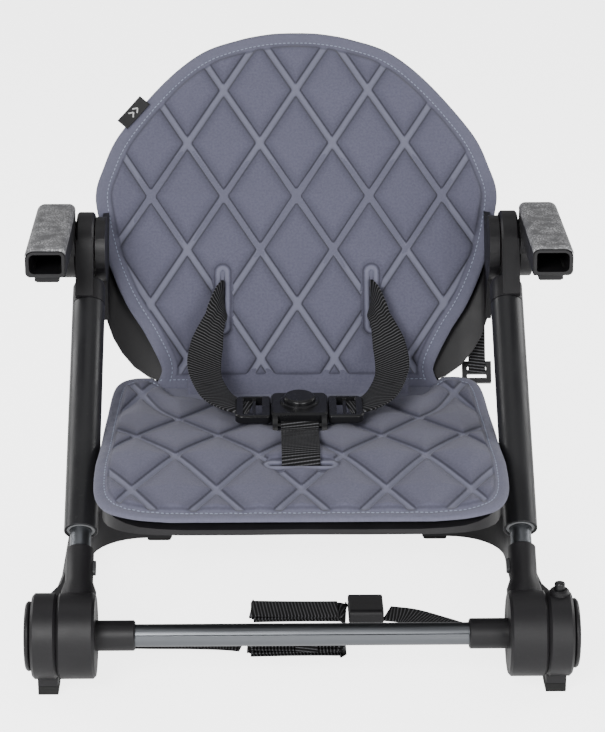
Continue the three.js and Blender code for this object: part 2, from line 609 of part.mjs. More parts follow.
piece(backFrame, 'back_shell', backShell(), BLACK_PLASTIC);
piece(backFrame, 'back_pad', backPad(), FABRIC);
pair(
  backFrame,
  'fold_pin',
  rodX(PIN_R, BACK_LUGS[0][0], BACK_LUGS[1][1], BACK_HINGE_Y, BACK_HINGE_Z, { segments: 20 }),
  STEEL,
);
{
  const label = frontPlate(roundedRect(-15, -5, 15, 5, 0.6), -1, 1).rotate([0, -49, 0]);
  piece(backFrame, 'edge_label', label.translate([-139, -1.6, 236]), LABEL);
}

// Slider of the strap that ties the backrest to the back of a dining chair.
{
  const slider = cut(block([0, 0, 0], [24, 6, 18]), block([4, -1, 4], [20, 7, 7.5]), block([4, -1, 10.5], [20, 7, 14]));
  piece(backFrame, 'rear_strap_slider', slider.translate([136, SHELL_Y + SHELL_T + 8, 12]), BLACK_PLASTIC);
  const stem = block([141, SHELL_Y + SHELL_T + GAP, 20.5], [155, SHELL_Y + SHELL_T + 8 - GAP, 68]);
  const web = cut(stem, floorPlate(tubSection(), 0, BACK_H).translate([0, GAP, 0]));
  piece(backFrame, 'rear_strap_tab', web, WEBBING);
}

// ---------------------------------------------------------------- seat pan
const PAN_OUTLINE = [
  [0, -PAN_L], [96, -PAN_L], [126, -PAN_L + 4], [144, -PAN_L + 17], [151, -PAN_L + 35], [PAN_HALF, -180],
  [PAN_HALF, -60], [149, -24], [138, -4], [128, -2], [0, -2],
];
const PAN_SHELL_OUTLINE = [
  [0, -PAN_L + 2], [94, -PAN_L + 2], [124, -PAN_L + 7], [141, -PAN_L + 20], [148, -PAN_L + 40], [148, -180], [148, -60],
  [145, -26], [132, -8], [120, -5], [0, -5],
];
const CROTCH_Y = -178; // crotch strap slot in the seat
const CROTCH_HALF = 25;

const crotchSlot = (z0, z1) => floorPlate(roundedRect(-CROTCH_HALF, CROTCH_Y - 3, CROTCH_HALF, CROTCH_Y + 4, 3), z0, z1);

// Side profile between the seat surface lowered by `top` and by `bottom`: flat, then sloping down at the front.
function panBand(top, bottom, front = PAN_L + 4) {
  const drop = ((front - PAN_FLAT) * PAN_DROP) / (PAN_L - PAN_FLAT);
  return new THREE.Shape([
    new THREE.Vector2(-front, -drop - bottom),
    new THREE.Vector2(-PAN_FLAT, -bottom),
    new THREE.Vector2(1, -bottom),
    new THREE.Vector2(1, -top),
    new THREE.Vector2(-PAN_FLAT + 12, -top),
    new THREE.Vector2(-PAN_FLAT - 12, -top - 4),
    new THREE.Vector2(-front, -drop - top),
  ]);
}

function panPad() {
  const body = floorPlate(symmetricOutline(PAN_OUTLINE), -60, 5).intersect(sidePlate(panBand(0, PAN_PAD_T), -200, 200));
  const taper = new THREE.Shape([
    new THREE.Vector2(-PAD_TAPER - 3, 1),
    new THREE.Vector2(2, -PAN_PAD_T + 0.5),
    new THREE.Vector2(2, 1),
  ]);
  return cut(body, sidePlate(taper, -200, 200), crotchSlot(-PAN_PAD_T - 20, 1));
}

function panShell() {
  const top = PAN_PAD_T + GAP;
  const side = new THREE.Shape([
    new THREE.Vector2(-PAN_L + 1, -top - PAN_DROP - 4),
    new THREE.Vector2(-150, -top - 29),
    new THREE.Vector2(0, -top - 25),
    new THREE.Vector2(0, -top),
    new THREE.Vector2(-PAN_FLAT, -top),
    new THREE.Vector2(-PAN_L + 1, -top - PAN_DROP),
  ]);
  const profile = sidePlate(side, -160, 160);
  const outer = floorPlate(symmetricOutline(PAN_SHELL_OUTLINE), -top - 60, 0).intersect(profile);
  const inner = symmetricOutline(PAN_SHELL_OUTLINE.map(([x, y]) => [x * 0.97, -123 + (y + 123) * 0.965]));
  const hollow = floorPlate(inner, -top - 80, 0).intersect(sidePlate(panBand(top + SHELL_T, top + 60), -200, 200));
  const ribs = [-92, -44, 41, 89].map((x) => block([x, -216, -top - 22], [x + 3, -8, -top - 1]).intersect(profile));
  const lug = hingeLug(...PAN_LUG, PAN_HINGE_Y, PAN_HINGE_Z, -8, -top - 15);
  const lugs = cut(lug, rodX(PIN_R + GAP, 90, 110, PAN_HINGE_Y, PAN_HINGE_Z, { segments: 20 }));
  return cut(join(cut(outer, hollow), ...ribs, lugs, lugs.mirror([1, 0, 0])), crotchSlot(-top - 60, 1));
}

piece(panFrame, 'seat_shell', panShell(), BLACK_PLASTIC);
piece(panFrame, 'seat_pad', panPad(), FABRIC);

// ---------------------------------------------------------------- harness
const BUCKLE_Y = 150; // middle of the buckle in the chair
const BUCKLE_Z = 160.5;
const BUCKLE_TILT = THREE.MathUtils.degToRad(5); // rear edge higher
const BUCKLE_HALF = 22;
const BUCKLE_DEPTH = 20;
const BUCKLE_T = 12;
const DISC_R = 12.4;
const TONGUE_OUT = 50;
const buckleFrame = frameAt(BUCKLE_Y, BUCKLE_Z, -BUCKLE_TILT);

function buckleBody() {
  const plan = roundedRect(-BUCKLE_HALF, -BUCKLE_DEPTH, BUCKLE_HALF, BUCKLE_DEPTH, [4, 4, 5, 5]);
  const body = floorPlate(plan, 0, BUCKLE_T, 1.5);
  const collar = rod(DISC_R + 2.6, BUCKLE_T - 2, BUCKLE_T + 2, { chamfer: 0.8, segments: 32 }).translate([0, 2, 0]);
  const prong = new THREE.Shape();
  prong.moveTo(-BUCKLE_DEPTH + 3, BUCKLE_T - 1.5);
  prong.lineTo(-BUCKLE_DEPTH - 2, BUCKLE_T - 2);
  prong.quadraticCurveTo(-BUCKLE_DEPTH - 12, BUCKLE_T - 4, -BUCKLE_DEPTH - 13, 1);
  prong.lineTo(-BUCKLE_DEPTH - 9, 1);
  prong.lineTo(-BUCKLE_DEPTH + 3, 1.5);
  const fork = sidePlate(prong, BUCKLE_HALF - 5, BUCKLE_HALF - 1);
  const pin = rodX(1.8, -BUCKLE_HALF + 3, BUCKLE_HALF - 3, -BUCKLE_DEPTH - 7, 5, { segments: 16 });
  const well = rod(DISC_R + GAP, BUCKLE_T - 5, BUCKLE_T + 3, { segments: 32 }).translate([0, 2, 0]);
  const mouth = block([6, -10, 3.7], [BUCKLE_HALF + 1, 10, 8.3]);
  return cut(join(body, collar, fork, fork.mirror([1, 0, 0]), pin), well, mouth, mouth.mirror([1, 0, 0]));
}

function tongue() {
  const frame = floorPlate(roundedRect(BUCKLE_HALF + GAP, -19, TONGUE_OUT, 19, [3, 6, 6, 3]), 2.5, 9.5, 1);
  const insert = block([7, -9.6, 4.1], [BUCKLE_HALF + 2, 9.6, 7.9]);
  const window = block([BUCKLE_HALF + 7, -15.5, 0], [TONGUE_OUT - 6, 15.5, 12]);
  const bar = block([BUCKLE_HALF + 12, -16.5, 4], [BUCKLE_HALF + 14.6, 16.5, 8]);
  return join(cut(join(frame, insert), window), bar);
}

piece(buckleFrame, 'buckle_body', buckleBody(), BLACK_PLASTIC);
piece(
  buckleFrame,
  'buckle_button',
  rod(DISC_R, BUCKLE_T - 5 + 3.5, BUCKLE_T + 5.5, { chamfer: 1.4, segments: 32 }).translate([0, 2, 0]),
  BLACK_PLASTIC,
);
pair(buckleFrame, 'buckle_tongue', tongue(), BLACK_PLASTIC);

{
  const path = [[0, -118, 8.5], [0, -127, 3.2], [0, -140, 1.6], [0, -162, 1.8], [0, -172, 0.9], [0, CROTCH_Y, -4], [0, CROTCH_Y, -16]];
  piece(panFrame, 'crotch_strap', ribbon(path.map((centre) => [centre, [1, 0, 0]]), WEB_W, WEB_T), WEBBING);
}

// A waist strap comes out of its upright slot, turns its face forward and curls into the tongue.
function waistStrap() {
  const [sin, cos] = [Math.sin(BACK_LEAN), Math.cos(BACK_LEAN)];
  const middle = (SLOT_Z0 + SLOT_Z1) / 2;
  const local = (y) => [SLOT_X, CREASE_Y + y * cos + middle * sin, CREASE_Z - y * sin + middle * cos];
  const upright = [0, sin, cos];
  const sections = [
    [local(10), upright],
    [local(-7), upright],
    [[SLOT_X + 8, 250, 208], [0.6, 0.45, 0.66]],
    [[SLOT_X + 13, 228, 190], [0.95, -0.2, -0.2]],
    [[SLOT_X + 12, 204, 175], [0.95, -0.2, -0.15]],
    [[SLOT_X + 8, 178, 168], [0.7, -0.7, -0.1]],
    [[TONGUE_OUT + 13, 160, 167.5], [0.5, -0.86, 0]],
  ];
  return ribbon(sections, WEB_W - 2, WEB_T);
}
pair(hubFrame, 'waist_strap', waistStrap(), WEBBING);

// ---------------------------------------------------------------- strap that ties the base to a dining chair
const STRAP_Y = 79;
const flatWise = (path) => path.map((centre) => [centre, [0, 1, 0]]);
const floorZ = 0.8 + WEB_T / 2;
piece(
  hubFrame,
  'chair_strap_left',
  ribbon(flatWise([[-ARM_IN + GAP, STRAP_Y, 9], [-156, STRAP_Y, 5], [-138, STRAP_Y, floorZ + 0.6], [-118, STRAP_Y, floorZ], [-84, STRAP_Y - 1, floorZ], [-48, STRAP_Y - 6, floorZ]]), WEB_W, WEB_T),
  WEBBING,
);
piece(
  hubFrame,
  'chair_strap_bundle',
  sidePlate(roundedRect(48, 0.4, 82, 15, 4), -44, 36, 1),
  WEBBING,
);
piece(hubFrame, 'chair_strap_fold', sidePlate(roundedRect(112, 0.4, 144, 8, 3), -42, 38, 1), WEBBING);
piece(hubFrame, 'chair_strap_buckle', sidePlate(roundedRect(110, 0.4, 146, 12, 4), 38 + GAP, 66, 1), BLACK_PLASTIC);
piece(
  hubFrame,
  'chair_strap_right',
  ribbon(flatWise([[70.5, 127, floorZ], [88, 122, floorZ], [110, 106, floorZ], [130, 90, floorZ + 0.3], [146, 82, 3.2], [158, STRAP_Y, 5.5], [ARM_IN - GAP, STRAP_Y, 9]]), WEB_W - 4, WEB_T),
  WEBBING,
);

export default chair;
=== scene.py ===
"""Looks of a folding booster high chair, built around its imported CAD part."""

import json
import logging
import math
from dataclasses import dataclass
from enum import Enum
from typing import Callable, Sequence

import bmesh
import bpy
import numpy as np
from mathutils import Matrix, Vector

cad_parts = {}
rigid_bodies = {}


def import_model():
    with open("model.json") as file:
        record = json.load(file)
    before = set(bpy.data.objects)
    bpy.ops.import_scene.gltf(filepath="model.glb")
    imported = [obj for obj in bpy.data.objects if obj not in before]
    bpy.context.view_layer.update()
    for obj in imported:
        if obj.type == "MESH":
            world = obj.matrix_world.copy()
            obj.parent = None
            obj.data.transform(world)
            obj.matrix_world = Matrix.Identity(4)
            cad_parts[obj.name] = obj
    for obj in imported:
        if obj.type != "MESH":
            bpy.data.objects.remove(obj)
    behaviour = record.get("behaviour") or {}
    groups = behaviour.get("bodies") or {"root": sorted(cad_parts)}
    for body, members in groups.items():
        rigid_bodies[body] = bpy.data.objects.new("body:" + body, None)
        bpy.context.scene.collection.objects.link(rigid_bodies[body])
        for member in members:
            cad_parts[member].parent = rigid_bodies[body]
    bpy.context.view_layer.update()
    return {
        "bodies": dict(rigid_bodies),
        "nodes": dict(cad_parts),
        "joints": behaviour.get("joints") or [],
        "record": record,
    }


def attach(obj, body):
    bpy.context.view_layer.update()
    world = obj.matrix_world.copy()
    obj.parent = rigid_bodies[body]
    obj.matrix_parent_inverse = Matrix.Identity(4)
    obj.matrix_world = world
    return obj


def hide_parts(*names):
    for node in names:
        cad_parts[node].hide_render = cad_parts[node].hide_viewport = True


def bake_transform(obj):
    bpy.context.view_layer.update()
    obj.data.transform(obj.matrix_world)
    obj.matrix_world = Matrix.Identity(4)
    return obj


LOG = logging.getLogger("high_chair")
MM = 0.001
HUB_AXIS_Y = -184.4  # where the fold axis of the hubs lies in the row frame, in mm

Color = tuple[float, float, float]
Point = tuple[float, float, float]


class Side(Enum):
    """The two sides of the chair, as the sign of X."""

    LEFT = -1
    RIGHT = 1

    @property
    def label(self) -> str:
        """The side's word in piece and node names."""
        return self.name.lower()


@dataclass(frozen=True)
class LeaningFrame:
    """A frame turned about X, with its origin in the chair's side plane, in mm."""

    y: float
    z: float
    lean: float

    def place(self, points: np.ndarray) -> np.ndarray:
        """Turn local millimetres into metres in the row frame.

        Args:
            points: An array of points whose last axis is x, y, z.

        Returns:
            An array of the same shape.
        """
        angle = math.radians(self.lean)
        x, y, z = np.moveaxis(np.asarray(points, float), -1, 0)
        out_y = self.y + HUB_AXIS_Y + y * math.cos(angle) + z * math.sin(angle)
        out_z = self.z - y * math.sin(angle) + z * math.cos(angle)
        return np.stack([x, out_y, out_z], axis=-1) * MM


HUB = LeaningFrame(0, 0, 0)
BACK = LeaningFrame(236, 151, 30.7)
PAN = LeaningFrame(236, 151, 3.6)


def smoothstep(value: np.ndarray, low: float, high: float) -> np.ndarray:
    """Rise smoothly from 0 at low to 1 at high.

    Args:
        value: Where it is wanted.
        low: Start of the rise.
        high: End of the rise.

    Returns:
        The rise at each value.
    """
    t = np.clip((value - low) / (high - low), 0, 1)
    return t * t * (3 - 2 * t)


def catmull(points: Sequence[Sequence[float]], count: int) -> np.ndarray:
    """Sample a smooth curve through points, evenly in its parameter.

    Args:
        points: Control points of any dimension.
        count: Number of samples.

    Returns:
        The samples, one in each row.
    """
    p = np.asarray(points, float)
    p = np.vstack([2 * p[0] - p[1], p, 2 * p[-1] - p[-2]])
    t = np.linspace(0, len(p) - 3 - 1e-9, count)
    i = t.astype(int)
    f = (t - i)[:, None]
    a, b, c, d = p[i], p[i + 1], p[i + 2], p[i + 3]
    return 0.5 * (2 * b + (c - a) * f + (2 * a - 5 * b + 4 * c - d) * f**2 + (3 * b - a - 3 * c + d) * f**3)


def even_path(points: Sequence[Sequence[float]], count: int) -> np.ndarray:
    """Sample a smooth curve through points, evenly along its length.

    Args:
        points: Control points of any dimension, whose first three are a place.
        count: Number of samples.

    Returns:
        The samples, one in each row.
    """
    fine = catmull(points, 600)
    length = np.concatenate([[0], np.cumsum(np.linalg.norm(np.diff(fine[:, :3], axis=0), axis=1))])
    at = np.linspace(0, length[-1], count)
    return np.stack([np.interp(at, length, fine[:, k]) for k in range(fine.shape[1])], axis=1)


def make_mesh(
    name: str, vertices: np.ndarray, faces: Sequence[Sequence[int]], smooth: bool = True
) -> bpy.types.Object:
    """Make a mesh object at the origin.

    Args:
        name: Name of the piece.
        vertices: Points in metres in the row frame.
        faces: Vertex numbers of each face.
        smooth: Whether faces are shaded smooth.

    Returns:
        The new object, linked to the scene.
    """
    mesh = bpy.data.meshes.new(name)
    mesh.from_pydata(np.asarray(vertices, float).reshape(-1, 3).tolist(), [], [list(f) for f in faces])
    piece = bpy.data.objects.new(name, mesh)
    bpy.context.scene.collection.objects.link(piece)
    tidy = bmesh.new()
    tidy.from_mesh(mesh)
    bmesh.ops.recalc_face_normals(tidy, faces=tidy.faces)
    tidy.to_mesh(mesh)
    tidy.free()
    mesh.polygons.foreach_set("use_smooth", [smooth] * len(mesh.polygons))
    return piece


def sheet_faces(rows: int, columns: int) -> list[tuple[int, ...]]:
    """Faces of a sheet whose vertices are numbered row by row.

    Args:
        rows: How many rows it has.
        columns: How many vertices a row has.

    Returns:
        The faces.
    """
    starts = (i * columns + j for i in range(rows - 1) for j in range(columns - 1))
    return [(k, k + 1, k + columns + 1, k + columns) for k in starts]


def store(piece: bpy.types.Object, name: str, values: np.ndarray) -> None:
    """Keep a vector for each vertex, for the materials to read.

    Args:
        piece: The piece.
        name: Name of the attribute.
        values: Three numbers for each vertex.
    """
    attribute = piece.data.attributes.new(name, "FLOAT_VECTOR", "POINT")
    attribute.data.foreach_set("vector", np.asarray(values, float).reshape(-1))


# ------------------------------------------------------------------ finishes


class Shader:
    """A short way to write one material's nodes."""

    def __init__(self, name: str) -> None:
        """Start a material with an empty Principled surface.

        Args:
            name: Name of the material.
        """
        self.material = bpy.data.materials.new(name)
        self.material.use_nodes = True
        self.tree = self.material.node_tree
        self.surface = self.tree.nodes["Principled BSDF"]

    def node(self, kind: str, inputs: dict | None = None, **settings: object) -> bpy.types.Node:
        """Add a node.

        Args:
            kind: Its type.
            inputs: Values or links for its inputs, by name or number.
            settings: Its own properties.

        Returns:
            The node.
        """
        made = self.tree.nodes.new(kind)
        for key, value in settings.items():
            setattr(made, key, value)
        for key, value in (inputs or {}).items():
            self.feed(made.inputs[key], value)
        return made

    def feed(self, socket: bpy.types.NodeSocket, value: object) -> None:
        """Link a socket, or set its value.

        Args:
            socket: The input.
            value: An output socket to link, or a plain value.
        """
        if isinstance(value, bpy.types.NodeSocket):
            self.tree.links.new(value, socket)
        else:
            socket.default_value = value

    def math(self, operation: str, a: object, b: object = 0.0, c: object = 0.0) -> bpy.types.NodeSocket:
        """Add a Math node and return its result.

        Args:
            operation: The operation.
            a: First value.
            b: Second value.
            c: Third value.

        Returns:
            The result's socket.
        """
        return self.node("ShaderNodeMath", {0: a, 1: b, 2: c}, operation=operation).outputs[0]

    def ramp(
        self, value: object, low: float, high: float, start: float = 0.0, end: float = 1.0
    ) -> bpy.types.NodeSocket:
        """Map a value smoothly from one range to another.

        Args:
            value: The value.
            low: Low end of its range.
            high: High end of its range.
            start: Result at the low end.
            end: Result at the high end.

        Returns:
            The result's socket.
        """
        inputs = {"Value": value, "From Min": low, "From Max": high, "To Min": start, "To Max": end}
        return self.node("ShaderNodeMapRange", inputs, interpolation_type="SMOOTHSTEP").outputs["Result"]

    def band(
        self, value: object, middle: float, near: float, far: float, start: float = 1.0
    ) -> bpy.types.NodeSocket:
        """A soft stripe around one value.

        Args:
            value: What is measured.
            middle: Value at the stripe's middle.
            near: Distance within which the stripe is full.
            far: Distance at which it is gone.
            start: Strength of the full stripe.

        Returns:
            The stripe's strength.
        """
        away = self.math("ABSOLUTE", self.math("SUBTRACT", value, middle))
        return self.ramp(away, near, far, start, 0.0)

    def wave(self, value: object, period: float) -> bpy.types.NodeSocket:
        """A sine wave of a length.

        Args:
            value: Place along the wave.
            period: Its length.

        Returns:
            The wave, between -1 and 1.
        """
        return self.math("SINE", self.math("MULTIPLY", value, 2 * math.pi / period))

    def noise(
        self, vector: object, scale: float, detail: float = 2.0, rough: float = 0.5
    ) -> bpy.types.NodeSocket:
        """Add a noise texture.

        Args:
            vector: Where it is read.
            scale: Its scale, per metre.
            detail: Its detail.
            rough: Its roughness.

        Returns:
            The noise's value.
        """
        inputs = {"Vector": vector, "Scale": scale, "Detail": detail, "Roughness": rough}
        return self.node("ShaderNodeTexNoise", inputs).outputs[0]

    def mix(self, share: object, a: Color, b: Color) -> bpy.types.NodeSocket:
        """Mix two colours.

        Args:
            share: How much of the second one, from 0 to 1.
            a: First colour, or a socket.
            b: Second colour, or a socket.

        Returns:
            The mixed colour.
        """
        made = self.node("ShaderNodeMix", data_type="RGBA")
        self.feed(made.inputs[0], share)
        for socket, value in ((made.inputs[6], a), (made.inputs[7], b)):
            self.feed(socket, value if isinstance(value, bpy.types.NodeSocket) else (*value, 1))
        return made.outputs[2]

    def bump(
        self, height: object, distance: float, strength: float = 1.0, normal: object = None
    ) -> bpy.types.NodeSocket:
        """Add a bump.

        Args:
            height: The height.
            distance: How far a height of 1 stands out, in metres.
            strength: Its strength.
            normal: A normal that it is added to.

        Returns:
            The new normal.
        """
        made = self.node("ShaderNodeBump", {"Height": height, "Distance": distance, "Strength": strength})
        if normal is not None:
            self.feed(made.inputs["Normal"], normal)
        return made.outputs[0]

    def place(self) -> bpy.types.NodeSocket:
        """The point on the object, in metres."""
        return self.node("ShaderNodeTexCoord").outputs["Object"]

    def attribute(self, name: str) -> tuple[bpy.types.NodeSocket, ...]:
        """Read a stored vector's three numbers.

        Args:
            name: Name of the attribute.

        Returns:
            Its three sockets.
        """
        vector = self.node("ShaderNodeAttribute", attribute_name=name).outputs["Vector"]
        return tuple(self.node("ShaderNodeSeparateXYZ", {0: vector}).outputs)

    def end(
        self, color: object, roughness: object, normal: object = None, **plain: object
    ) -> bpy.types.Material:
        """Set the surface and return the material.

        Args:
            color: Base colour, a colour or a socket.
            roughness: Roughness, a number or a socket.
            normal: The bumped normal.
            plain: Other inputs of the surface, spaces written as underscores.

        Returns:
            The material.
        """
        socket = color if isinstance(color, bpy.types.NodeSocket) else (*color, 1)
        self.feed(self.surface.inputs["Base Color"], socket)
        self.feed(self.surface.inputs["Roughness"], roughness)
        if normal is not None:
            self.feed(self.surface.inputs["Normal"], normal)
        for key, value in plain.items():
            self.surface.inputs[key.replace("_", " ")].default_value = value
        return self.material


@dataclass(frozen=True)
class Moulded:
    """Injection-moulded plastic or rubber with a spark-eroded grain and scattered rubbed patches."""

    name: str
    color: Color
    rubbed: Color
    roughness: float = 0.45
    grain: float = 1500.0
    depth: float = 0.00008
    specular: float = 0.35

    def build(self) -> bpy.types.Material:
        """Make the material."""
        s = Shader(self.name)
        at = s.place()
        fine = s.noise(at, self.grain, 2.0)
        broad = s.noise(at, 28.0, 3.0)
        scuffed = s.math("MULTIPLY", s.ramp(s.noise(at, 260.0, 5.0, 0.7), 0.56, 0.78), 0.5)
        color = s.mix(scuffed, self.color, self.rubbed)
        rough = s.ramp(broad, 0.3, 0.7, self.roughness - 0.07, self.roughness + 0.07)
        return s.end(color, rough, s.bump(fine, self.depth), Specular_IOR_Level=self.specular)


@dataclass(frozen=True)
class GrainedCover:
    """The soft-touch armrest cover, with a crackled leather grain rubbed dark."""

    name: str = "grained_cover"
    color: Color = (0.36, 0.36, 0.37)
    rubbed: Color = (0.10, 0.10, 0.104)
    cells: float = 420.0

    def build(self) -> bpy.types.Material:
        """Make the material."""
        s = Shader(self.name)
        at = s.place()
        inputs = {"Vector": at, "Scale": self.cells}
        cell = s.node("ShaderNodeTexVoronoi", inputs, feature="DISTANCE_TO_EDGE")
        crack = s.ramp(cell.outputs[0], 0.02, 0.2)
        blotch = s.ramp(s.noise(at, 95.0, 5.0, 0.65), 0.36, 0.66)
        color = s.mix(blotch, self.rubbed, self.color)
        color = s.mix(crack, self.rubbed, color)
        rough = s.ramp(blotch, 0, 1, 0.5, 0.68)
        return s.end(color, rough, s.bump(crack, 0.00022), Specular_IOR_Level=0.45)


@dataclass(frozen=True)
class DrawnMetal:
    """Metal drawn or turned, with fine lines along one axis."""

    name: str
    color: Color
    roughness: float
    stretch: Point
    metallic: float = 1.0

    def build(self) -> bpy.types.Material:
        """Make the material."""
        s = Shader(self.name)
        lines = s.node("ShaderNodeMapping", {"Vector": s.place(), "Scale": self.stretch}).outputs[0]
        drawn = s.noise(lines, 1.0, 3.0)
        dark = tuple(0.82 * c for c in self.color)
        rough = s.ramp(drawn, 0.3, 0.7, self.roughness - 0.06, self.roughness + 0.08)
        return s.end(s.mix(drawn, dark, self.color), rough, s.bump(drawn, 0.00003), Metallic=self.metallic)


@dataclass(frozen=True)
class QuiltedCloth:
    """The liner's woven cloth, pressed into flat welded channels between padded diamonds, with painted shade
    beside the channels, along their edges and in the creases.
    """

    name: str = "quilted_cloth"
    color: Color = (0.122, 0.122, 0.172)
    shade: Color = (0.093, 0.093, 0.134)
    pressed: Color = (0.158, 0.162, 0.218)
    opening: Color = (0.006, 0.006, 0.007)
    channel: float = 2.6
    border: float = 13.0
    yarn: float = 0.00085

    def build(self) -> bpy.types.Material:
        """Make the material."""
        s = Shader(self.name)
        weld, slot, edge = s.attribute("quilt")
        quilted = s.ramp(edge, self.border - 2.0, self.border + 0.5)
        flat = s.node("ShaderNodeAttribute", attribute_name="flat").outputs["Vector"]
        x, y, _ = s.node("ShaderNodeSeparateXYZ", {0: flat}).outputs
        weave = s.math("MULTIPLY", s.wave(x, self.yarn), s.wave(y, self.yarn))
        weave = s.math("MULTIPLY_ADD", weave, 0.5, 0.5)
        heather = s.noise(flat, 520.0, 4.0, 0.7)
        cloud = s.noise(flat, 16.0, 3.0)
        color = s.mix(s.ramp(heather, 0.3, 0.7), self.shade, self.color)
        color = s.mix(s.math("MULTIPLY", s.ramp(cloud, 0.3, 0.75), 0.25), color, self.shade)
        in_channel = s.ramp(weld, self.channel - 0.5, self.channel + 0.4, 1.0, 0.0)
        in_channel = s.math("MULTIPLY", in_channel, quilted)
        color = s.mix(s.math("MULTIPLY", in_channel, 0.75), color, self.pressed)
        # Painted shade: a thin dark line along the edge of each channel.
        painted_lip_shade = s.math("MULTIPLY", s.band(weld, self.channel + 0.35, 0.0, 1.0), quilted)
        # Painted shade: the cloth darkens beside each channel, where the padded diamond dips into it.
        painted_channel_shade = s.ramp(weld, self.channel + 0.5, self.channel + 9.0, 0.34, 0.0)
        painted_channel_shade = s.math("MULTIPLY", painted_channel_shade, quilted)
        painted_channel_shade = s.math("MULTIPLY", painted_channel_shade, s.ramp(weld, self.channel - 0.2, self.channel + 0.4))
        color = s.mix(painted_channel_shade, color, tuple(0.45 * c for c in self.shade))
        ring = s.band(slot, 2.0, 1.0, 2.2)
        # Painted shade: a dark line in the crease where the quilting meets the flat border, and a dark ring
        # in the dip around each opening.
        painted_crease_shade = s.band(edge, self.border - 0.5, 0.0, 1.6, 0.5)
        painted_dent_shade = s.band(slot, 5.2, 0.0, 1.2, 0.7)
        # The three painted shades darken the cloth together.
        dark = s.math("MAXIMUM", s.math("MAXIMUM", painted_crease_shade, painted_dent_shade), s.math("MULTIPLY", painted_lip_shade, 0.78))
        color = s.mix(dark, color, tuple(0.42 * c for c in self.shade))
        color = s.mix(s.math("MULTIPLY", ring, 0.6), color, tuple(1.35 * c for c in self.pressed))
        color = s.mix(s.ramp(edge, self.border - 4.0, self.border, 0.35, 0.0), color, self.pressed)
        color = s.mix(s.ramp(slot, -0.5, 0.4, 1.0, 0.0), color, self.opening)
        open_weave = s.math("SUBTRACT", 1.0, s.math("MULTIPLY", in_channel, 0.5))
        grid = s.math("MULTIPLY", weave, open_weave)
        step = s.ramp(weld, self.channel - 0.6, self.channel + 1.0)
        step = s.math("MAXIMUM", step, s.math("SUBTRACT", 1.0, quilted))
        normal = s.bump(step, 0.0007)
        normal = s.bump(s.math("MULTIPLY_ADD", heather, 0.8, grid), 0.00016, 1.0, normal)
        normal = s.bump(s.noise(flat, 55.0, 3.0), 0.0006, 1.0, normal)
        rough = s.ramp(in_channel, 0, 1, 0.88, 0.62)
        plain = {"Sheen_Weight": 0.12, "Sheen_Roughness": 0.5, "Specular_IOR_Level": 0.2}
        return s.end(color, rough, normal, **plain)


@dataclass(frozen=True)
class Webbing:
    """Black polypropylene webbing, ribbed across, with a tight twill between the ribs and a painted highlight
    on the crest of each rib.
    """

    name: str = "webbing"
    color: Color = (0.003, 0.003, 0.0033)
    # Colour of the painted highlight on the rib crests.
    light: Color = (0.15, 0.15, 0.16)
    rib: float = 0.0026
    yarn: float = 0.0011

    def build(self) -> bpy.types.Material:
        """Make the material."""
        s = Shader(self.name)
        flat = s.node("ShaderNodeAttribute", attribute_name="flat").outputs["Vector"]
        x, y, _ = s.node("ShaderNodeSeparateXYZ", {0: flat}).outputs
        slant = s.math("MULTIPLY_ADD", x, 0.12, y)
        ribs = s.math("MULTIPLY_ADD", s.wave(slant, self.rib), 0.5, 0.5)
        yarn = s.math("MULTIPLY_ADD", s.wave(x, self.yarn), 0.5, 0.5)
        fuzz = s.noise(flat, 1400.0, 3.0)
        rounded = s.math("POWER", ribs, 0.6)
        weave = s.math("MULTIPLY", rounded, s.math("MULTIPLY_ADD", yarn, 0.5, 0.5))
        # Painted highlight: the crest of each rib, strongest on the yarn, is lightened towards the highlight
        # colour.
        crest_highlight = s.math("POWER", ribs, 5.0)
        share = s.math("MULTIPLY", crest_highlight, s.math("MULTIPLY_ADD", yarn, 0.7, 0.3))
        color = s.mix(share, self.color, self.light)
        normal = s.bump(s.math("MULTIPLY_ADD", fuzz, 0.3, weave), 0.00035)
        plain = {"Sheen_Weight": 0.01, "Sheen_Roughness": 0.4, "Specular_IOR_Level": 0.15}
        return s.end(color, 0.7, normal, **plain)


@dataclass(frozen=True)
class Thread:
    """Twisted sewing thread."""

    name: str
    color: Color

    def build(self) -> bpy.types.Material:
        """Make the material."""
        s = Shader(self.name)
        fibre = s.noise(s.place(), 3500.0, 2.0)
        dark = tuple(0.6 * c for c in self.color)
        return s.end(s.mix(fibre, dark, self.color), 0.7, s.bump(fibre, 0.00008))


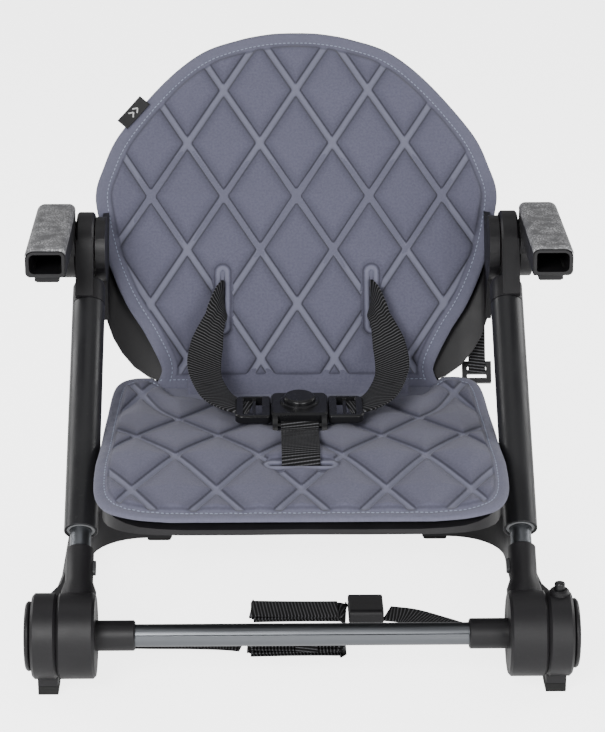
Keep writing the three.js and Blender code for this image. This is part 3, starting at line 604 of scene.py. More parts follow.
@dataclass
class Finishes:
    """Every finish on the chair, made once."""

    black: bpy.types.Material
    button: bpy.types.Material
    tube: bpy.types.Material
    rubber: bpy.types.Material
    nylon: bpy.types.Material
    snap: bpy.types.Material
    cover: bpy.types.Material
    metal: bpy.types.Material
    steel: bpy.types.Material
    cloth: bpy.types.Material
    webbing: bpy.types.Material
    thread: bpy.types.Material
    black_thread: bpy.types.Material
    label: bpy.types.Material
    mark: bpy.types.Material

    @classmethod
    def make(cls) -> "Finishes":
        """Build the materials.

        Returns:
            The finishes.
        """
        grey = (0.03, 0.03, 0.03)
        gloss, coat, soft = (0.008, 0.008, 0.009), (0.013, 0.013, 0.0145), (0.012, 0.012, 0.012)
        pale, dull = (0.20, 0.205, 0.21), (0.03, 0.031, 0.033)
        made = {
            "black": Moulded("black_plastic", (0.0085, 0.008, 0.0092), (0.018, 0.017, 0.019)),
            "button": Moulded("gloss_black", gloss, grey, 0.28, 900, 0.00003),
            "tube": Moulded("black_powder_coat", coat, grey, 0.36, 2200, 0.00004),
            "rubber": Moulded("rubber", soft, grey, 0.8, 900, 0.0001, 0.3),
            "nylon": Moulded("pale_nylon", pale, (0.26, 0.26, 0.26), 0.45),
            "snap": Moulded("grey_plastic", dull, (0.06, 0.06, 0.06), 0.4),
            "cover": GrainedCover(),
            "metal": DrawnMetal("satin_tube", (0.19, 0.20, 0.215), 0.36, (14, 2600, 2600)),
            "steel": DrawnMetal("plated_steel", (0.55, 0.56, 0.58), 0.28, (1800, 1800, 1800)),
            "cloth": QuiltedCloth(),
            "webbing": Webbing(),
            "thread": Thread("liner_thread", (0.34, 0.38, 0.50)),
            "black_thread": Thread("black_thread", (0.02, 0.02, 0.022)),
            "label": Thread("label_satin", (0.006, 0.006, 0.007)),
            "mark": Thread("label_mark", (0.62, 0.62, 0.62)),
        }
        return cls(**{name: finish.build() for name, finish in made.items()})


# ------------------------------------------------------------------ liner


@dataclass(frozen=True)
class Opening:
    """A slot through the liner, a line with rounded ends, in the liner's flat layout."""

    x: float
    v: float
    half_x: float
    half_v: float
    radius: float
    border: float

    def distance(self, x: np.ndarray, v: np.ndarray) -> np.ndarray:
        """Distance outside the slot's edge.

        Args:
            x: Places across.
            v: Places along.

        Returns:
            The distances, below zero inside the slot.
        """
        dx = np.maximum(np.abs(np.abs(x) - self.x) - self.half_x, 0)
        dv = np.maximum(np.abs(v - self.v) - self.half_v, 0)
        return np.hypot(dx, dv) - self.radius


@dataclass
class QuiltedPad:
    """One panel of the padded liner: a flat layout, its diamonds, and where it lies."""

    name: str
    outline: Sequence[tuple[float, float]]
    lattice: tuple[float, float, float]
    openings: Sequence[Opening]
    lay: Callable[[np.ndarray, np.ndarray, np.ndarray], np.ndarray]
    rows: int = 180
    columns: int = 190
    depth: float = 3.0
    crown: float = 3.2
    stitch_inset: float = 8.5
    border: float = 13.0
    border_drop: float = 2.4
    stitch_dent: float = 0.9
    pucker: float = 0.25
    slack: float = 0.35
    roll_width: float = 3.5
    roll_depth: float = 1.2
    slot_drop: float = 2.6
    slot_lip: float = 1.5
    slot_depth: float = 8.0
    rim_steps: Sequence[tuple[float, float]] = (
        (0.5, 0.5), (0.8, 1.2), (0.6, 2.1), (-0.4, 2.8), (-2.6, 3.1),
    )

    def half_width(self, v: np.ndarray) -> np.ndarray:
        """Half the width of the panel.

        Args:
            v: Places along the panel.

        Returns:
            The half widths.
        """
        curve = catmull([(a, b, 0) for a, b in self.outline], 500)
        return np.interp(v, curve[:, 0], curve[:, 1])

    def layout(self) -> tuple[np.ndarray, np.ndarray]:
        """Spread the rows and columns over the flat panel.

        Returns:
            The places across and along, each rows by columns.
        """
        curve = catmull([(a, b, 0) for a, b in self.outline], 2000)
        steps = np.abs(np.diff(curve[:, 0])) + 0.35 * np.abs(np.diff(curve[:, 1]))
        travel = np.concatenate([[0], np.cumsum(steps)])
        v = np.interp(np.linspace(0, travel[-1], self.rows), travel, curve[:, 0])
        s = np.linspace(-1, 1, self.columns)
        s = s * (1 + 0.06 * (1 - np.abs(s)))
        return s[None, :] * self.half_width(v)[:, None], np.repeat(v[:, None], self.columns, 1)

    def rim(self, x: np.ndarray, v: np.ndarray) -> list[tuple[int, int]]:
        """The grid places around the edge, in order.

        Args:
            x: Places across.
            v: Places along; not used.

        Returns:
            Row and column of each.
        """
        rows, columns = x.shape
        bottom = [(0, j) for j in range(columns)]
        right = [(i, columns - 1) for i in range(1, rows)]
        top = [(rows - 1, j) for j in range(columns - 2, -1, -1)]
        left = [(i, 0) for i in range(rows - 2, 0, -1)]
        return bottom + right + top + left

    def weld_distance(self, x: np.ndarray, v: np.ndarray) -> np.ndarray:
        """Distance from the nearest welded channel's middle, in mm.

        Args:
            x: Places across.
            v: Places along.

        Returns:
            The distances.
        """
        pitch, half_row, even = self.lattice
        steep = math.hypot(1 / pitch, 0.5 / half_row)
        u, w = x / pitch, (v - even) / (2 * half_row)
        one, two = u - w, u + w
        return np.minimum(np.abs(one - np.round(one)), np.abs(two - np.round(two))) / steep

    def height(self, x: np.ndarray, v: np.ndarray, edge: np.ndarray) -> np.ndarray:
        """Height of the padded face over its plane, in mm.

        Args:
            x: Places across.
            v: Places along.
            edge: Distance from the panel's edge.

        Returns:
            The heights.
        """
        weld = self.weld_distance(x, v)
        padded = smoothstep(weld, 1.5, 4.4)
        plump = 1 - np.exp(-((weld / 15) ** 2))
        inside = smoothstep(edge, self.border - 3.0, self.border + 2.0)
        quilted = -self.depth * (1 - padded) + self.crown * plump
        rise = quilted * inside - self.border_drop * (1 - inside)
        rise -= self.stitch_dent * np.exp(-(((edge - self.stitch_inset) / 1.1) ** 2))
        puckers = np.sin(x / 3.1 + 0.5 * v) * (1 - inside) * smoothstep(edge, 1, 4)
        rise += self.pucker * puckers
        inward = np.clip(edge / self.roll_width, 0, 1)
        rise -= self.roll_depth * (1 - np.sqrt(np.clip(1 - (1 - inward) ** 2, 0, 1)))
        waves = np.sin(x / 31 + 0.6) * np.sin(v / 37 + 1.1) + 0.6 * np.sin(x / 17 - v / 23)
        rise += self.slack * waves * smoothstep(edge, 4, 25)
        for hole in self.openings:
            away = hole.distance(x, v)
            band = 1 - smoothstep(away, hole.border - 1.0, hole.border + 1.0)
            rise = rise * (1 - band) - self.slot_drop * band
            rise += self.slot_lip * np.exp(-(((away - 1.9) / 1.3) ** 2))
            rise -= self.slot_depth * (1 - smoothstep(away, -1.6, 0.2))
        return rise

    def build(self) -> tuple[bpy.types.Object, np.ndarray]:
        """Make the closed panel.

        Returns:
            The panel, and the line of its edge stitching, in metres.
        """
        x, v = self.layout()
        rim = self.rim(x, v)
        loop = np.array([(x[i, j], v[i, j]) for i, j in rim])
        edge = self.edge_distance(x, v, loop)
        rise = self.height(x, v, edge)
        count = x.size
        flat = [np.stack([x, v], -1).reshape(-1, 2)]
        points = [self.lay(x, v, rise).reshape(-1, 3)]
        number = {place: place[0] * self.columns + place[1] for place in rim}
        rings = [[number[place] for place in rim]]
        out = self.outward(loop)
        for push, drop in self.rim_steps:
            ring = loop + push * out
            level = np.array([rise[i, j] for i, j in rim]) - drop
            rings.append([count + k for k in range(len(rim))])
            points.append(self.lay(ring[:, 0], ring[:, 1], level))
            flat.append(loop)
            count += len(rim)
        faces = sheet_faces(self.rows, self.columns)
        for inner, outer in zip(rings, rings[1:]):
            for k in range(len(inner)):
                n = (k + 1) % len(inner)
                faces.append((inner[k], outer[k], outer[n], inner[n]))
        faces += self.rear_faces(rings[-1])
        piece = make_mesh(self.name, np.vstack(points), faces)
        layout = np.vstack(flat)
        self.mark(piece, layout, np.concatenate([edge.ravel(), np.zeros(len(layout) - edge.size)]))
        return piece, self.stitch_line(loop, out)

    def rear_faces(self, ring: Sequence[int]) -> list[tuple[int, ...]]:
        """Close the rear with strips from side to side.

        Args:
            ring: Vertex numbers around the rear edge, in the rim's order.

        Returns:
            The faces.
        """
        c, r = self.columns, self.rows
        bottom, top = ring[:c], ring[c + r - 2 : 2 * c + r - 2]
        right = [ring[c - 1 + i] for i in range(r)]
        left = [ring[0]] + [ring[-i] for i in range(1, r)]
        faces = [(left[i], right[i], right[i + 1], left[i + 1]) for i in range(r - 1)]
        return faces + [tuple(bottom), tuple(top)]

    def edge_distance(self, x: np.ndarray, v: np.ndarray, loop: np.ndarray) -> np.ndarray:
        """Distance of each grid point from the panel's edge, in mm.

        Args:
            x: Places across.
            v: Places along.
            loop: The edge.

        Returns:
            The distances.
        """
        keep = np.concatenate([[True], np.linalg.norm(np.diff(loop, axis=0), axis=1) > 0.05])
        a = loop[keep]
        b = np.roll(a, -1, axis=0)
        run = b - a
        size = np.maximum((run**2).sum(1), 1e-9)
        p = np.stack([x.ravel(), v.ravel()], 1)
        best = np.full(len(p), 1e9)
        for k in range(len(a)):
            t = np.clip(((p - a[k]) @ run[k]) / size[k], 0, 1)
            best = np.minimum(best, ((p - a[k] - t[:, None] * run[k]) ** 2).sum(1))
        return np.sqrt(best).reshape(x.shape)

    @staticmethod
    def outward(loop: np.ndarray) -> np.ndarray:
        """Directions out of the panel along its edge.

        Args:
            loop: The edge, anticlockwise.

        Returns:
            A unit direction at each point.
        """
        run = np.roll(loop, -2, axis=0) - np.roll(loop, 2, axis=0)
        out = np.stack([run[:, 1], -run[:, 0]], 1)
        return out / np.maximum(np.linalg.norm(out, axis=1), 1e-6)[:, None]

    def mark(self, piece: bpy.types.Object, layout: np.ndarray, edge: np.ndarray) -> None:
        """Store the flat layout, the channels and the openings for the cloth's material.

        Args:
            piece: The panel.
            layout: Flat place of each vertex, in mm.
            edge: Distance of each vertex from the panel's edge, in mm.
        """
        x, v = layout[:, 0], layout[:, 1]
        away = np.full(len(x), 99.0)
        for hole in self.openings:
            away = np.minimum(away, hole.distance(x, v))
        weld = np.where(away < 6.5, 9.0, self.weld_distance(x, v))
        store(piece, "quilt", np.stack([weld, away, edge - self.border + QuiltedCloth.border], 1))
        store(piece, "flat", np.stack([x * MM, v * MM, np.zeros_like(x)], 1))

    def stitch_line(self, loop: np.ndarray, out: np.ndarray) -> np.ndarray:
        """The line of stitching inside the edge, in metres.

        Args:
            loop: The edge.
            out: Directions out of the panel.

        Returns:
            Points of the closed line.
        """
        inner = loop - out * self.stitch_inset
        keep = [0]
        for k in range(1, len(inner)):
            if np.linalg.norm(inner[k] - inner[keep[-1]]) > 2.0:
                keep.append(k)
        inner = inner[keep]
        for _ in range(6):
            inner = 0.5 * inner + 0.25 * (np.roll(inner, 1, axis=0) + np.roll(inner, -1, axis=0))
        rise = self.height(inner[:, 0], inner[:, 1], np.full(len(inner), self.stitch_inset))
        return self.lay(inner[:, 0], inner[:, 1], rise + 0.3)


def lay_back(x: np.ndarray, v: np.ndarray, rise: np.ndarray) -> np.ndarray:
    """Lay the back panel on the backrest, its sides curling forward.

    Args:
        x: Places across.
        v: Heights above the crease.
        rise: Height over the panel's plane.

    Returns:
        Points in the row frame, in metres.
    """
    curl = 5.0 * smoothstep(np.abs(x), 100, 168) ** 2
    tuck = 5.0 * (1 - smoothstep(v, 2, 38))
    return BACK.place(np.stack([x, -rise - curl + tuck, v], -1))


def lay_seat(x: np.ndarray, v: np.ndarray, rise: np.ndarray) -> np.ndarray:
    """Lay the seat panel on the pan, over the bend at its front, with lobes behind the crease.

    Args:
        x: Places across.
        v: Distances ahead of the crease.
        rise: Height over the panel's plane.

    Returns:
        Points in the row frame, in metres.
    """
    span = np.linspace(-20, 270, 1200)
    slope = math.radians(18.4) * smoothstep(span, 138, 192)
    step = span[1] - span[0]
    ahead = np.concatenate([[0], np.cumsum(np.cos(slope[:-1]) * step)]) + span[0]
    below = np.concatenate([[0], np.cumsum(np.sin(slope[:-1]) * step)])
    turn = np.interp(v, span, slope)
    lift = 10.0 * smoothstep(np.abs(x), 97, 122) * (1 - smoothstep(v, 2, 52))
    lobe = 22.0 * smoothstep(np.abs(x), 95, 120) * (1 - smoothstep(v, 0, 70))
    tuck = 4.0 * (1 - smoothstep(v, 0, 34)) * (1 - smoothstep(np.abs(x), 96, 118))
    sag = 2.5 * smoothstep(np.abs(x), 120, 152) ** 2
    y = -np.interp(v, span, ahead) + lobe - rise * np.sin(turn)
    z = -np.interp(v, span, below) + rise * np.cos(turn) - tuck - sag + lift
    return PAN.place(np.stack([x, y, z], -1))


@dataclass
class Liner:
    """The quilted liner: a back panel, a seat panel, their gusset and the stitching."""

    finishes: Finishes
    waist_slot: Opening = Opening(61, 77.5, 0, 23, 1.5, 6.5)
    crotch_slot: Opening = Opening(0, 178.5, 22.5, 0, 1.6, 5.5)
    back_outline: Sequence[tuple[float, float]] = (
        (3, 119), (8, 115), (15, 111), (24, 111), (50, 124), (76, 140), (110, 154), (150, 163),
        (168, 164.5), (186, 159.5), (217, 146), (260, 112), (288, 79), (300, 47), (305, 22), (306, 6),
    )
    seat_outline: Sequence[tuple[float, float]] = (
        (4, 132), (7, 142), (16, 148), (40, 151), (80, 152), (140, 152.4), (175, 154), (205, 153.5),
        (222, 148.5), (234, 138.5), (241.5, 122), (245, 97),
    )

    def build(self) -> None:
        """Make and dress every piece of the liner."""
        back = QuiltedPad(
            "liner_back",
            self.back_outline,
            (60, 45.6, 73.6),
            [self.waist_slot],
            lay_back,
        )
        seat = QuiltedPad(
            "liner_seat",
            self.seat_outline,
            (63, 45.3, 119.8),
            [self.crotch_slot],
            lay_seat,
            rows=150,
            depth=3.4,
            crown=4.2,
            stitch_inset=7.0,
            border=10.5,
        )
        self.panel(back, "backrest", "back_pad")
        self.panel(seat, "seat", "seat_pad")
        self.gusset()

    def panel(self, pad: QuiltedPad, body: str, node: str) -> None:
        """Make one panel and the stitches inside its edge.

        Args:
            pad: The panel's shape.
            body: CAD body that it belongs to.
            node: CAD solid that it stands for.
        """
        piece, line = pad.build()
        piece.data.materials.append(self.finishes.cloth)
        self.hold(piece, body)
        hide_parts(node)
        row = StitchRow(f"{pad.name}_stitches", line, closed=True, material=self.finishes.thread)
        stitches = row.build()
        self.hold(stitches, body)
        report(piece)

    @staticmethod
    def hold(piece: bpy.types.Object, body: str) -> None:
        """Let a piece of the liner follow its body, except on the seat, where its place is only baked into
        its mesh.

        Args:
            piece: The piece.
            body: CAD body that it belongs to.
        """
        if body == "seat":
            rear, front = (HUB.place(np.array(p)) for p in ((0, 262, 152), (0, 196, 153)))
            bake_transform(piece)
        else:
            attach(piece, body)

    def gusset(self) -> None:
        """Make the strip of cloth across the crease."""
        across = np.linspace(-90, 90, 60)
        section = (
            (-24, -8.2, 0), (-14, -7.2, 0), (-5, -6.6, 0), (0, -5.2, 1), (4, -3.4, 6), (5.5, -2.0, 14),
            (6.6, 0, 24),
        )
        rows = []
        for y, z, up in section:
            frame, point = (BACK, (y if up else 0, up)) if up else (PAN, (y, z))
            local = np.stack([across, *(np.full_like(across, k) for k in point)], -1)
            rows.append(frame.place(local))
        grid = np.array(rows)
        piece = make_mesh("liner_gusset", grid, sheet_faces(len(rows), len(across)))
        harden(piece, 0.0012)
        flat = np.array([v.co[:] for v in piece.data.vertices])
        store(piece, "flat", flat[:, [0, 1, 2]])
        store(piece, "quilt", np.tile([9.0, 99.0, 40.0], (len(flat), 1)))
        piece.data.materials.append(self.finishes.cloth)
        low = BACK.place(np.array([0, 0, 10]))
        high = PAN.place(np.array([0, -18, 0]))
        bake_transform(piece)
        report(piece)


def report(piece: bpy.types.Object) -> None:
    """Log a finished piece.

    Args:
        piece: The piece.
    """
    LOG.info("%s: %d faces", piece.name, len(piece.data.polygons))


def plain_copy(piece: bpy.types.Object) -> bpy.types.Object:
    """Turn a piece with modifiers into a plain mesh.

    Args:
        piece: The piece.

    Returns:
        The same object, with the result as its mesh and no modifiers.
    """
    evaluated = piece.evaluated_get(bpy.context.evaluated_depsgraph_get())
    mesh = bpy.data.meshes.new_from_object(evaluated)
    piece.modifiers.clear()
    piece.data = mesh
    mesh.name = piece.name
    return piece


def harden(piece: bpy.types.Object, thickness: float) -> bpy.types.Object:
    """Give a sheet its thickness, centred on it.

    Args:
        piece: The sheet.
        thickness: In metres.

    Returns:
        The thickened piece.
    """
    wall = piece.modifiers.new("wall", "SOLIDIFY")
    wall.thickness = thickness
    wall.offset = 0
    return plain_copy(piece)


@dataclass
class StitchRow:
    """A row of lock stitches along a line, made by Geometry Nodes."""

    name: str
    line: np.ndarray
    closed: bool = False
    material: bpy.types.Material | None = None
    pitch: float = 0.0036
    length: float = 0.0026
    radius: float = 0.00042

    def build(self) -> bpy.types.Object:
        """Make the stitches as one plain mesh.

        Returns:
            The piece.
        """
        curve = bpy.data.curves.new(self.name, "CURVE")
        curve.dimensions = "3D"
        spline = curve.splines.new("POLY")
        spline.points.add(len(self.line) - 1)
        spline.points.foreach_set("co", np.c_[self.line, np.ones(len(self.line))].ravel())
        spline.use_cyclic_u = self.closed
        guide = bpy.data.objects.new(f"{self.name}_guide", curve)
        bpy.context.scene.collection.objects.link(guide)
        piece = bpy.data.objects.new(self.name, bpy.data.meshes.new(self.name))
        bpy.context.scene.collection.objects.link(piece)
        modifier = piece.modifiers.new("stitches", "NODES")
        modifier.node_group = self.tree()
        given = {"Line": guide, "Pitch": self.pitch, "Length": self.length, "Radius": self.radius}
        for socket in modifier.node_group.interface.items_tree:
            if socket.in_out == "INPUT" and socket.name in given:
                modifier[socket.identifier] = given[socket.name]
        plain_copy(piece)
        bpy.data.objects.remove(guide)
        piece.data.materials.clear()
        piece.data.materials.append(self.material)
        report(piece)
        return piece

    def tree(self) -> bpy.types.NodeTree:
        """Build the node tree: points along the line, each a small capsule lying on it.

        Returns:
            The tree.
        """
        tree = bpy.data.node_groups.new(f"{self.name}_tree", "GeometryNodeTree")
        face = tree.interface
        face.new_socket("Geometry", in_out="OUTPUT", socket_type="NodeSocketGeometry")
        face.new_socket("Line", in_out="INPUT", socket_type="NodeSocketObject")
        for name in ("Pitch", "Length", "Radius"):
            face.new_socket(name, in_out="INPUT", socket_type="NodeSocketFloat")
        add, link = tree.nodes.new, tree.links.new
        given, out = add("NodeGroupInput"), add("NodeGroupOutput")
        source = add("GeometryNodeObjectInfo")
        source.transform_space = "ORIGINAL"
        link(given.outputs["Line"], source.inputs["Object"])
        points = add("GeometryNodeCurveToPoints")
        points.mode = "LENGTH"
        link(source.outputs["Geometry"], points.inputs["Curve"])
        link(given.outputs["Pitch"], points.inputs["Length"])
        stitch = add("GeometryNodeMeshUVSphere")
        stitch.inputs["Segments"].default_value = 6
        stitch.inputs["Rings"].default_value = 4
        stitch.inputs["Radius"].default_value = 0.5
        size = add("ShaderNodeCombineXYZ")
        double = add("ShaderNodeMath")
        double.operation = "MULTIPLY"
        double.inputs[1].default_value = 2.0
        link(given.outputs["Radius"], double.inputs[0])
        link(double.outputs[0], size.inputs["X"])
        link(double.outputs[0], size.inputs["Y"])
        link(given.outputs["Length"], size.inputs["Z"])
        turn = add("FunctionNodeAlignRotationToVector")
        turn.axis = "Z"
        link(points.outputs["Tangent"], turn.inputs["Vector"])
        copies = add("GeometryNodeInstanceOnPoints")
        link(points.outputs["Points"], copies.inputs["Points"])
        link(stitch.outputs["Mesh"], copies.inputs["Instance"])
        link(turn.outputs["Rotation"], copies.inputs["Rotation"])
        link(size.outputs[0], copies.inputs["Scale"])
        real = add("GeometryNodeRealizeInstances")
        dress = add("GeometryNodeSetMaterial")
        dress.inputs["Material"].default_value = self.material
        link(copies.outputs[0], real.inputs[0])
        link(real.outputs[0], dress.inputs[0])
        link(dress.outputs[0], out.inputs[0])
        return tree


# ------------------------------------------------------------------ webbing


@dataclass
class Strap:
    """A flat strap that follows a path, with rounded edges and its own flat layout."""

    name: str
    path: Sequence[Sequence[float]]
    width: float = 29.0
    thickness: float = 1.7
    rows: int = 120
    widths: Sequence[tuple[float, float]] = ()
    span: tuple[float, float] = (0.0, 1.0)

    def build(self, material: bpy.types.Material, frame: LeaningFrame = HUB) -> bpy.types.Object:
        """Make the strap.

        Args:
            material: Its finish.
            frame: The frame of its path, whose rows are a place and the direction of its width.

        Returns:
            The piece.
        """
        path = even_path(self.path, self.rows)
        centre, across = path[:, :3], path[:, 3:]
        along = np.gradient(centre, axis=0)
        along /= np.linalg.norm(along, axis=1)[:, None]
        across = across - (across * along).sum(1)[:, None] * along
        across /= np.linalg.norm(across, axis=1)[:, None]
        up = np.cross(along, across)
        half, t = self.width / 2, self.thickness / 2
        share = np.ones(self.rows)
        if self.widths:
            share = np.interp(np.linspace(0, 1, self.rows), *zip(*self.widths))
        s = np.concatenate([[0], np.cumsum(np.linalg.norm(np.diff(centre, axis=0), axis=1))])
        first, last = (round(end * (self.rows - 1)) for end in self.span)
        centre, across, up, share, s = (a[first : last + 1] for a in (centre, across, up, share, s))
        rows = last - first + 1
        fold = (t * 2.2 * (1 - share))[:, None]
        top = [(u * half, t) for u in np.linspace(-0.965, 0.965, 13)]
        bottom = [(u, -w) for u, w in top[::-1]]
        edge = [(half, 0.35 * t), (half, -0.35 * t)]
        section = top + edge + bottom + [(-u, -w) for u, w in edge]
        n = len(section)
        columns = []
        for u, w in section:
            lift = w + fold * math.cos(2.5 * math.pi * u / half)
            columns.append(centre + u * share[:, None] * across + lift * up)
        points = np.stack(columns, 1)
        ends = [tuple(range(n)), tuple((rows - 1) * n + k for k in range(n))[::-1]]
        faces = [
            (i * n + k, i * n + (k + 1) % n, (i + 1) * n + (k + 1) % n, (i + 1) * n + k)
            for i in range(rows - 1)
            for k in range(n)
        ]
        piece = make_mesh(self.name, frame.place(points), faces + ends)
        u = np.array([p[0] for p in section])
        flat = np.stack([np.tile(u, rows), np.repeat(s, n), np.zeros(rows * n)], 1) * MM
        store(piece, "flat", flat)
        piece.data.materials.append(material)
        report(piece)
        return piece


@dataclass
class Harness:
    """The three-point harness: two waist straps and the crotch strap."""

    finishes: Finishes

    def build(self) -> None:
        """Make every piece of the harness."""
        for side in Side:
            self.waist_strap(side)
        self.crotch_strap()

    def waist_strap(self, side: Side) -> None:
        """Make a strap from its slot in the backrest to its tongue on the buckle.

        Args:
            side: Which side it is on.
        """
        m = side.value
        upright = (0, math.sin(math.radians(30.7)), math.cos(math.radians(30.7)))
        tilt_y, tilt_z = 0.5105, 0.8599
        behind, before = (
            (61, 236 + y * tilt_z + 77.5 * tilt_y, 151 - y * tilt_y + 77.5 * tilt_z) for y in (3, -3)
        )
        path = [
            (*behind, *upright),
            (*before, *upright),
            (64.5, 257, 213.5, 0.25, 0.5, 0.85),
            (69.5, 243, 203, 0.6, 0.35, 0.72),
            (74, 226, 190, 0.86, 0.15, 0.5),
            (75, 206, 180, 0.9, -0.1, 0.35),
            (70, 187, 173, 0.86, -0.35, 0.2),
            (62, 168, 169.5, 0.72, -0.62, 0.1),
            (49, 155, 167.8, 0.45, -0.88, 0.05),
            (38, 152.5, 167.2, 0.1, -1.0, 0.0),
        ]
        mirrored = [(m * x, y, z, m * a, b, c) for x, y, z, a, b, c in path]
        widths = ((0, 1.0), (0.06, 1.0), (0.2, 0.62), (0.36, 0.92), (0.5, 1.0), (1, 1.0))
        split = 0.67
        halves = []
        for part, span in (("web", (0, split)), ("end", (split, 1))):
            strap = Strap(f"waist_strap_{part}_{side.label}", mirrored, widths=widths, span=span)
            halves.append(strap.build(self.finishes.webbing))
        upper, lower = halves
        ends = ((m * 62, 256, 213), (m * 77, 205, 177), (m * 66.5, 182, 172.5), (m * 46, 154.5, 167.6))
        top, still, free, tip = (tuple(HUB.place(np.array(p))) for p in ends)
        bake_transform(upper)
        f"buckle_tongue_{side.label}"
        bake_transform(lower)
        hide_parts(f"waist_strap_{side.label}")

    def crotch_strap(self) -> None:
        """Make the strap from the buckle's fork to its slot in the seat."""
        path = [
            (0, -117, 9.0), (0, -119.5, 5.2), (0, -123, 3.6), (0, -132, 3.5), (0, -148, 3.7), (0, -163, 2.9),
            (0, -172, 0.6), (0, -176.5, -2.2), (0, -178.2, -6.5), (0, -178.4, -11),
        ]
        strap = Strap("crotch_strap_web", [(*p, 1, 0, 0) for p in path], rows=90)
        piece = strap.build(self.finishes.webbing, PAN)
        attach(piece, "seat")
        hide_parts("crotch_strap")
        for k, (y, z) in enumerate(((-126, 4.35), (-129, 4.3), (-137, 4.45), (-140, 4.5))):
            line = np.stack([np.linspace(-12.5, 12.5, 20), np.full(20, y), np.full(20, z)], -1)
            name, thread = f"crotch_strap_stitches_{k}", self.finishes.black_thread
            stitches = StitchRow(name, PAN.place(line), material=thread, pitch=0.0026, length=0.0022)
            row = stitches.build()
            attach(row, "seat")


@dataclass
class ChairStrap:
    """The strap that ties the base to a dining chair: flat runs, a folded bundle and its keeper."""

    finishes: Finishes
    height: float = 2.0

    def build(self) -> None:
        """Make the strap's pieces."""
        web, h = self.finishes.webbing, self.height
        flat = (0, 1, 0)
        runs = {
            "left": (
                (-171, 79, 9), (-158, 79, 5.6), (-140, 79, 2.9), (-120, 79, h), (-84, 78, h),
                (-60, 76, h), (-45, 73, h),
            ),
            "right": (
                (69, 128, h), (88, 122, h), (110, 106, h), (130, 90, 2.3), (146, 82, 3.4),
                (158, 79, 5.7), (171, 79, 9),
            ),
        }
        for name, path in runs.items():
            piece = Strap(f"chair_strap_run_{name}", [(*p, *flat) for p in path], width=27).build(web)
            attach(piece, "base")
            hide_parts(f"chair_strap_{name}")
        self.bundle("chair_strap_hank", (-42, 34), 65, 30, 5, 12.6, "chair_strap_bundle")
        self.bundle("chair_strap_double", (-40, 36), 128, 29, 3, 6.6, "chair_strap_fold")
        keeper = [
            (4, y, z, 1, 0, 0)
            for y, z in (
                (48.5, 6), (49, 12.6), (52, 14), (65, 14.4), (78, 14), (81, 12.6), (81.5, 6), (81, 1.6),
            )
        ]
        piece = Strap("chair_strap_keeper", keeper, width=17, thickness=1.2, rows=60).build(web)
        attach(piece, "base")

    def bundle(
        self, name: str, span: tuple[float, float], y: float, width: float, layers: int, top: float, node: str
    ) -> None:
        """Fold the strap back and forth into a flat bundle.

        Args:
            name: Name of the piece.
            span: Where it starts and ends along X.
            y: Middle of its width.
            width: The strap's width.
            layers: How many layers lie on each other.
            top: Height of the top layer.
            node: CAD solid that it stands for.
        """
        path: list[tuple[float, ...]] = []
        low, gap = 1.9, (top - 1.9) / (layers - 1)
        for k in range(layers):
            inset = 2.2 * (k % 2)
            ends = (span[0] + inset, span[1] - 1.5 * k)
            ends = ends if k % 2 == 0 else ends[::-1]
            z = low + k * gap
            for f in (0.04, 0.25, 0.5, 0.75, 0.96):
                x = ends[0] + f * (ends[1] - ends[0])
                stray, ripple = 0.8 * math.sin(1.7 * k + 2 * f), 0.25 * math.sin(3 * f + k)
                path.append((x, y + stray, z + ripple, 0, 1, 0))
            if k < layers - 1:
                path.append((ends[1], y, z + gap / 2, 0, 1, 0))
        strap = Strap(name, path, width=width, thickness=1.5, rows=60 * layers)
        piece = strap.build(self.finishes.webbing)
        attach(piece, "base")
        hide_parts(node)


@dataclass
class BackTrim:
    """The woven label on the liner's edge and the webbing tab behind the backrest."""

    finishes: Finishes

    def build(self) -> None:
        """Make the label with its plain mark, and the tab."""
        self.label()
        path = [(148, 25, 20), (148, 24.5, 34), (148, 22.5, 50), (148, 20.5, 67)]
        strap = Strap("rear_tab_web", [(*p, 1, 0, 0) for p in path], width=14, rows=40)
        piece = strap.build(self.finishes.webbing, BACK)
        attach(piece, "backrest")
        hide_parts("rear_strap_tab")

    def label(self) -> None:
        """Make the folded label and its mark of two plain chevrons."""
        angle = math.radians(49)
        mid = np.array([-134.5, -2.2, 236.0])
        axis_u = np.array([math.cos(angle), 0, math.sin(angle)])
        axis_v = np.array([-math.sin(angle), 0, math.cos(angle)])

        def spread(u: np.ndarray, v: np.ndarray, lift: np.ndarray) -> np.ndarray:
            """Points on the label, from its own flat places."""
            bend = 0.004 * u**2 - 0.9
            base = mid + u[..., None] * axis_u + v[..., None] * axis_v
            base[..., 1] -= lift + bend
            return BACK.place(base)

        u, v = np.meshgrid(np.linspace(-14, 14, 30), np.linspace(-5.4, 5.4, 12), indexing="ij")
        piece = make_mesh("liner_label", spread(u, v, np.zeros_like(u)), sheet_faces(*u.shape))
        harden(piece, 0.0014)
        piece.data.materials.append(self.finishes.label)
        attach(piece, "backrest")
        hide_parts("edge_label")
        points: list[np.ndarray] = []
        bars: list[tuple[int, ...]] = []
        for shift in (-3.5, 1.5):
            for turn in (-1, 1):
                a, b = np.array([shift, 2.6 * turn]), np.array([shift + 3.4, 0.0])
                side = np.array([-(b - a)[1], (b - a)[0]]) / np.linalg.norm(b - a) * 0.55
                corners = np.array([a - side, b - side, b + side, a + side])
                bars.append(tuple(len(points) * 4 + k for k in range(4)))
                points.append(spread(corners[:, 0], corners[:, 1], np.full(4, 0.85)))
        mark = make_mesh("liner_label_mark", np.vstack(points), bars, smooth=False)
        harden(mark, 0.0003)
        mark.data.materials.append(self.finishes.mark)
        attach(mark, "backrest")
        report(piece)


# ------------------------------------------------------------------ frame and studio


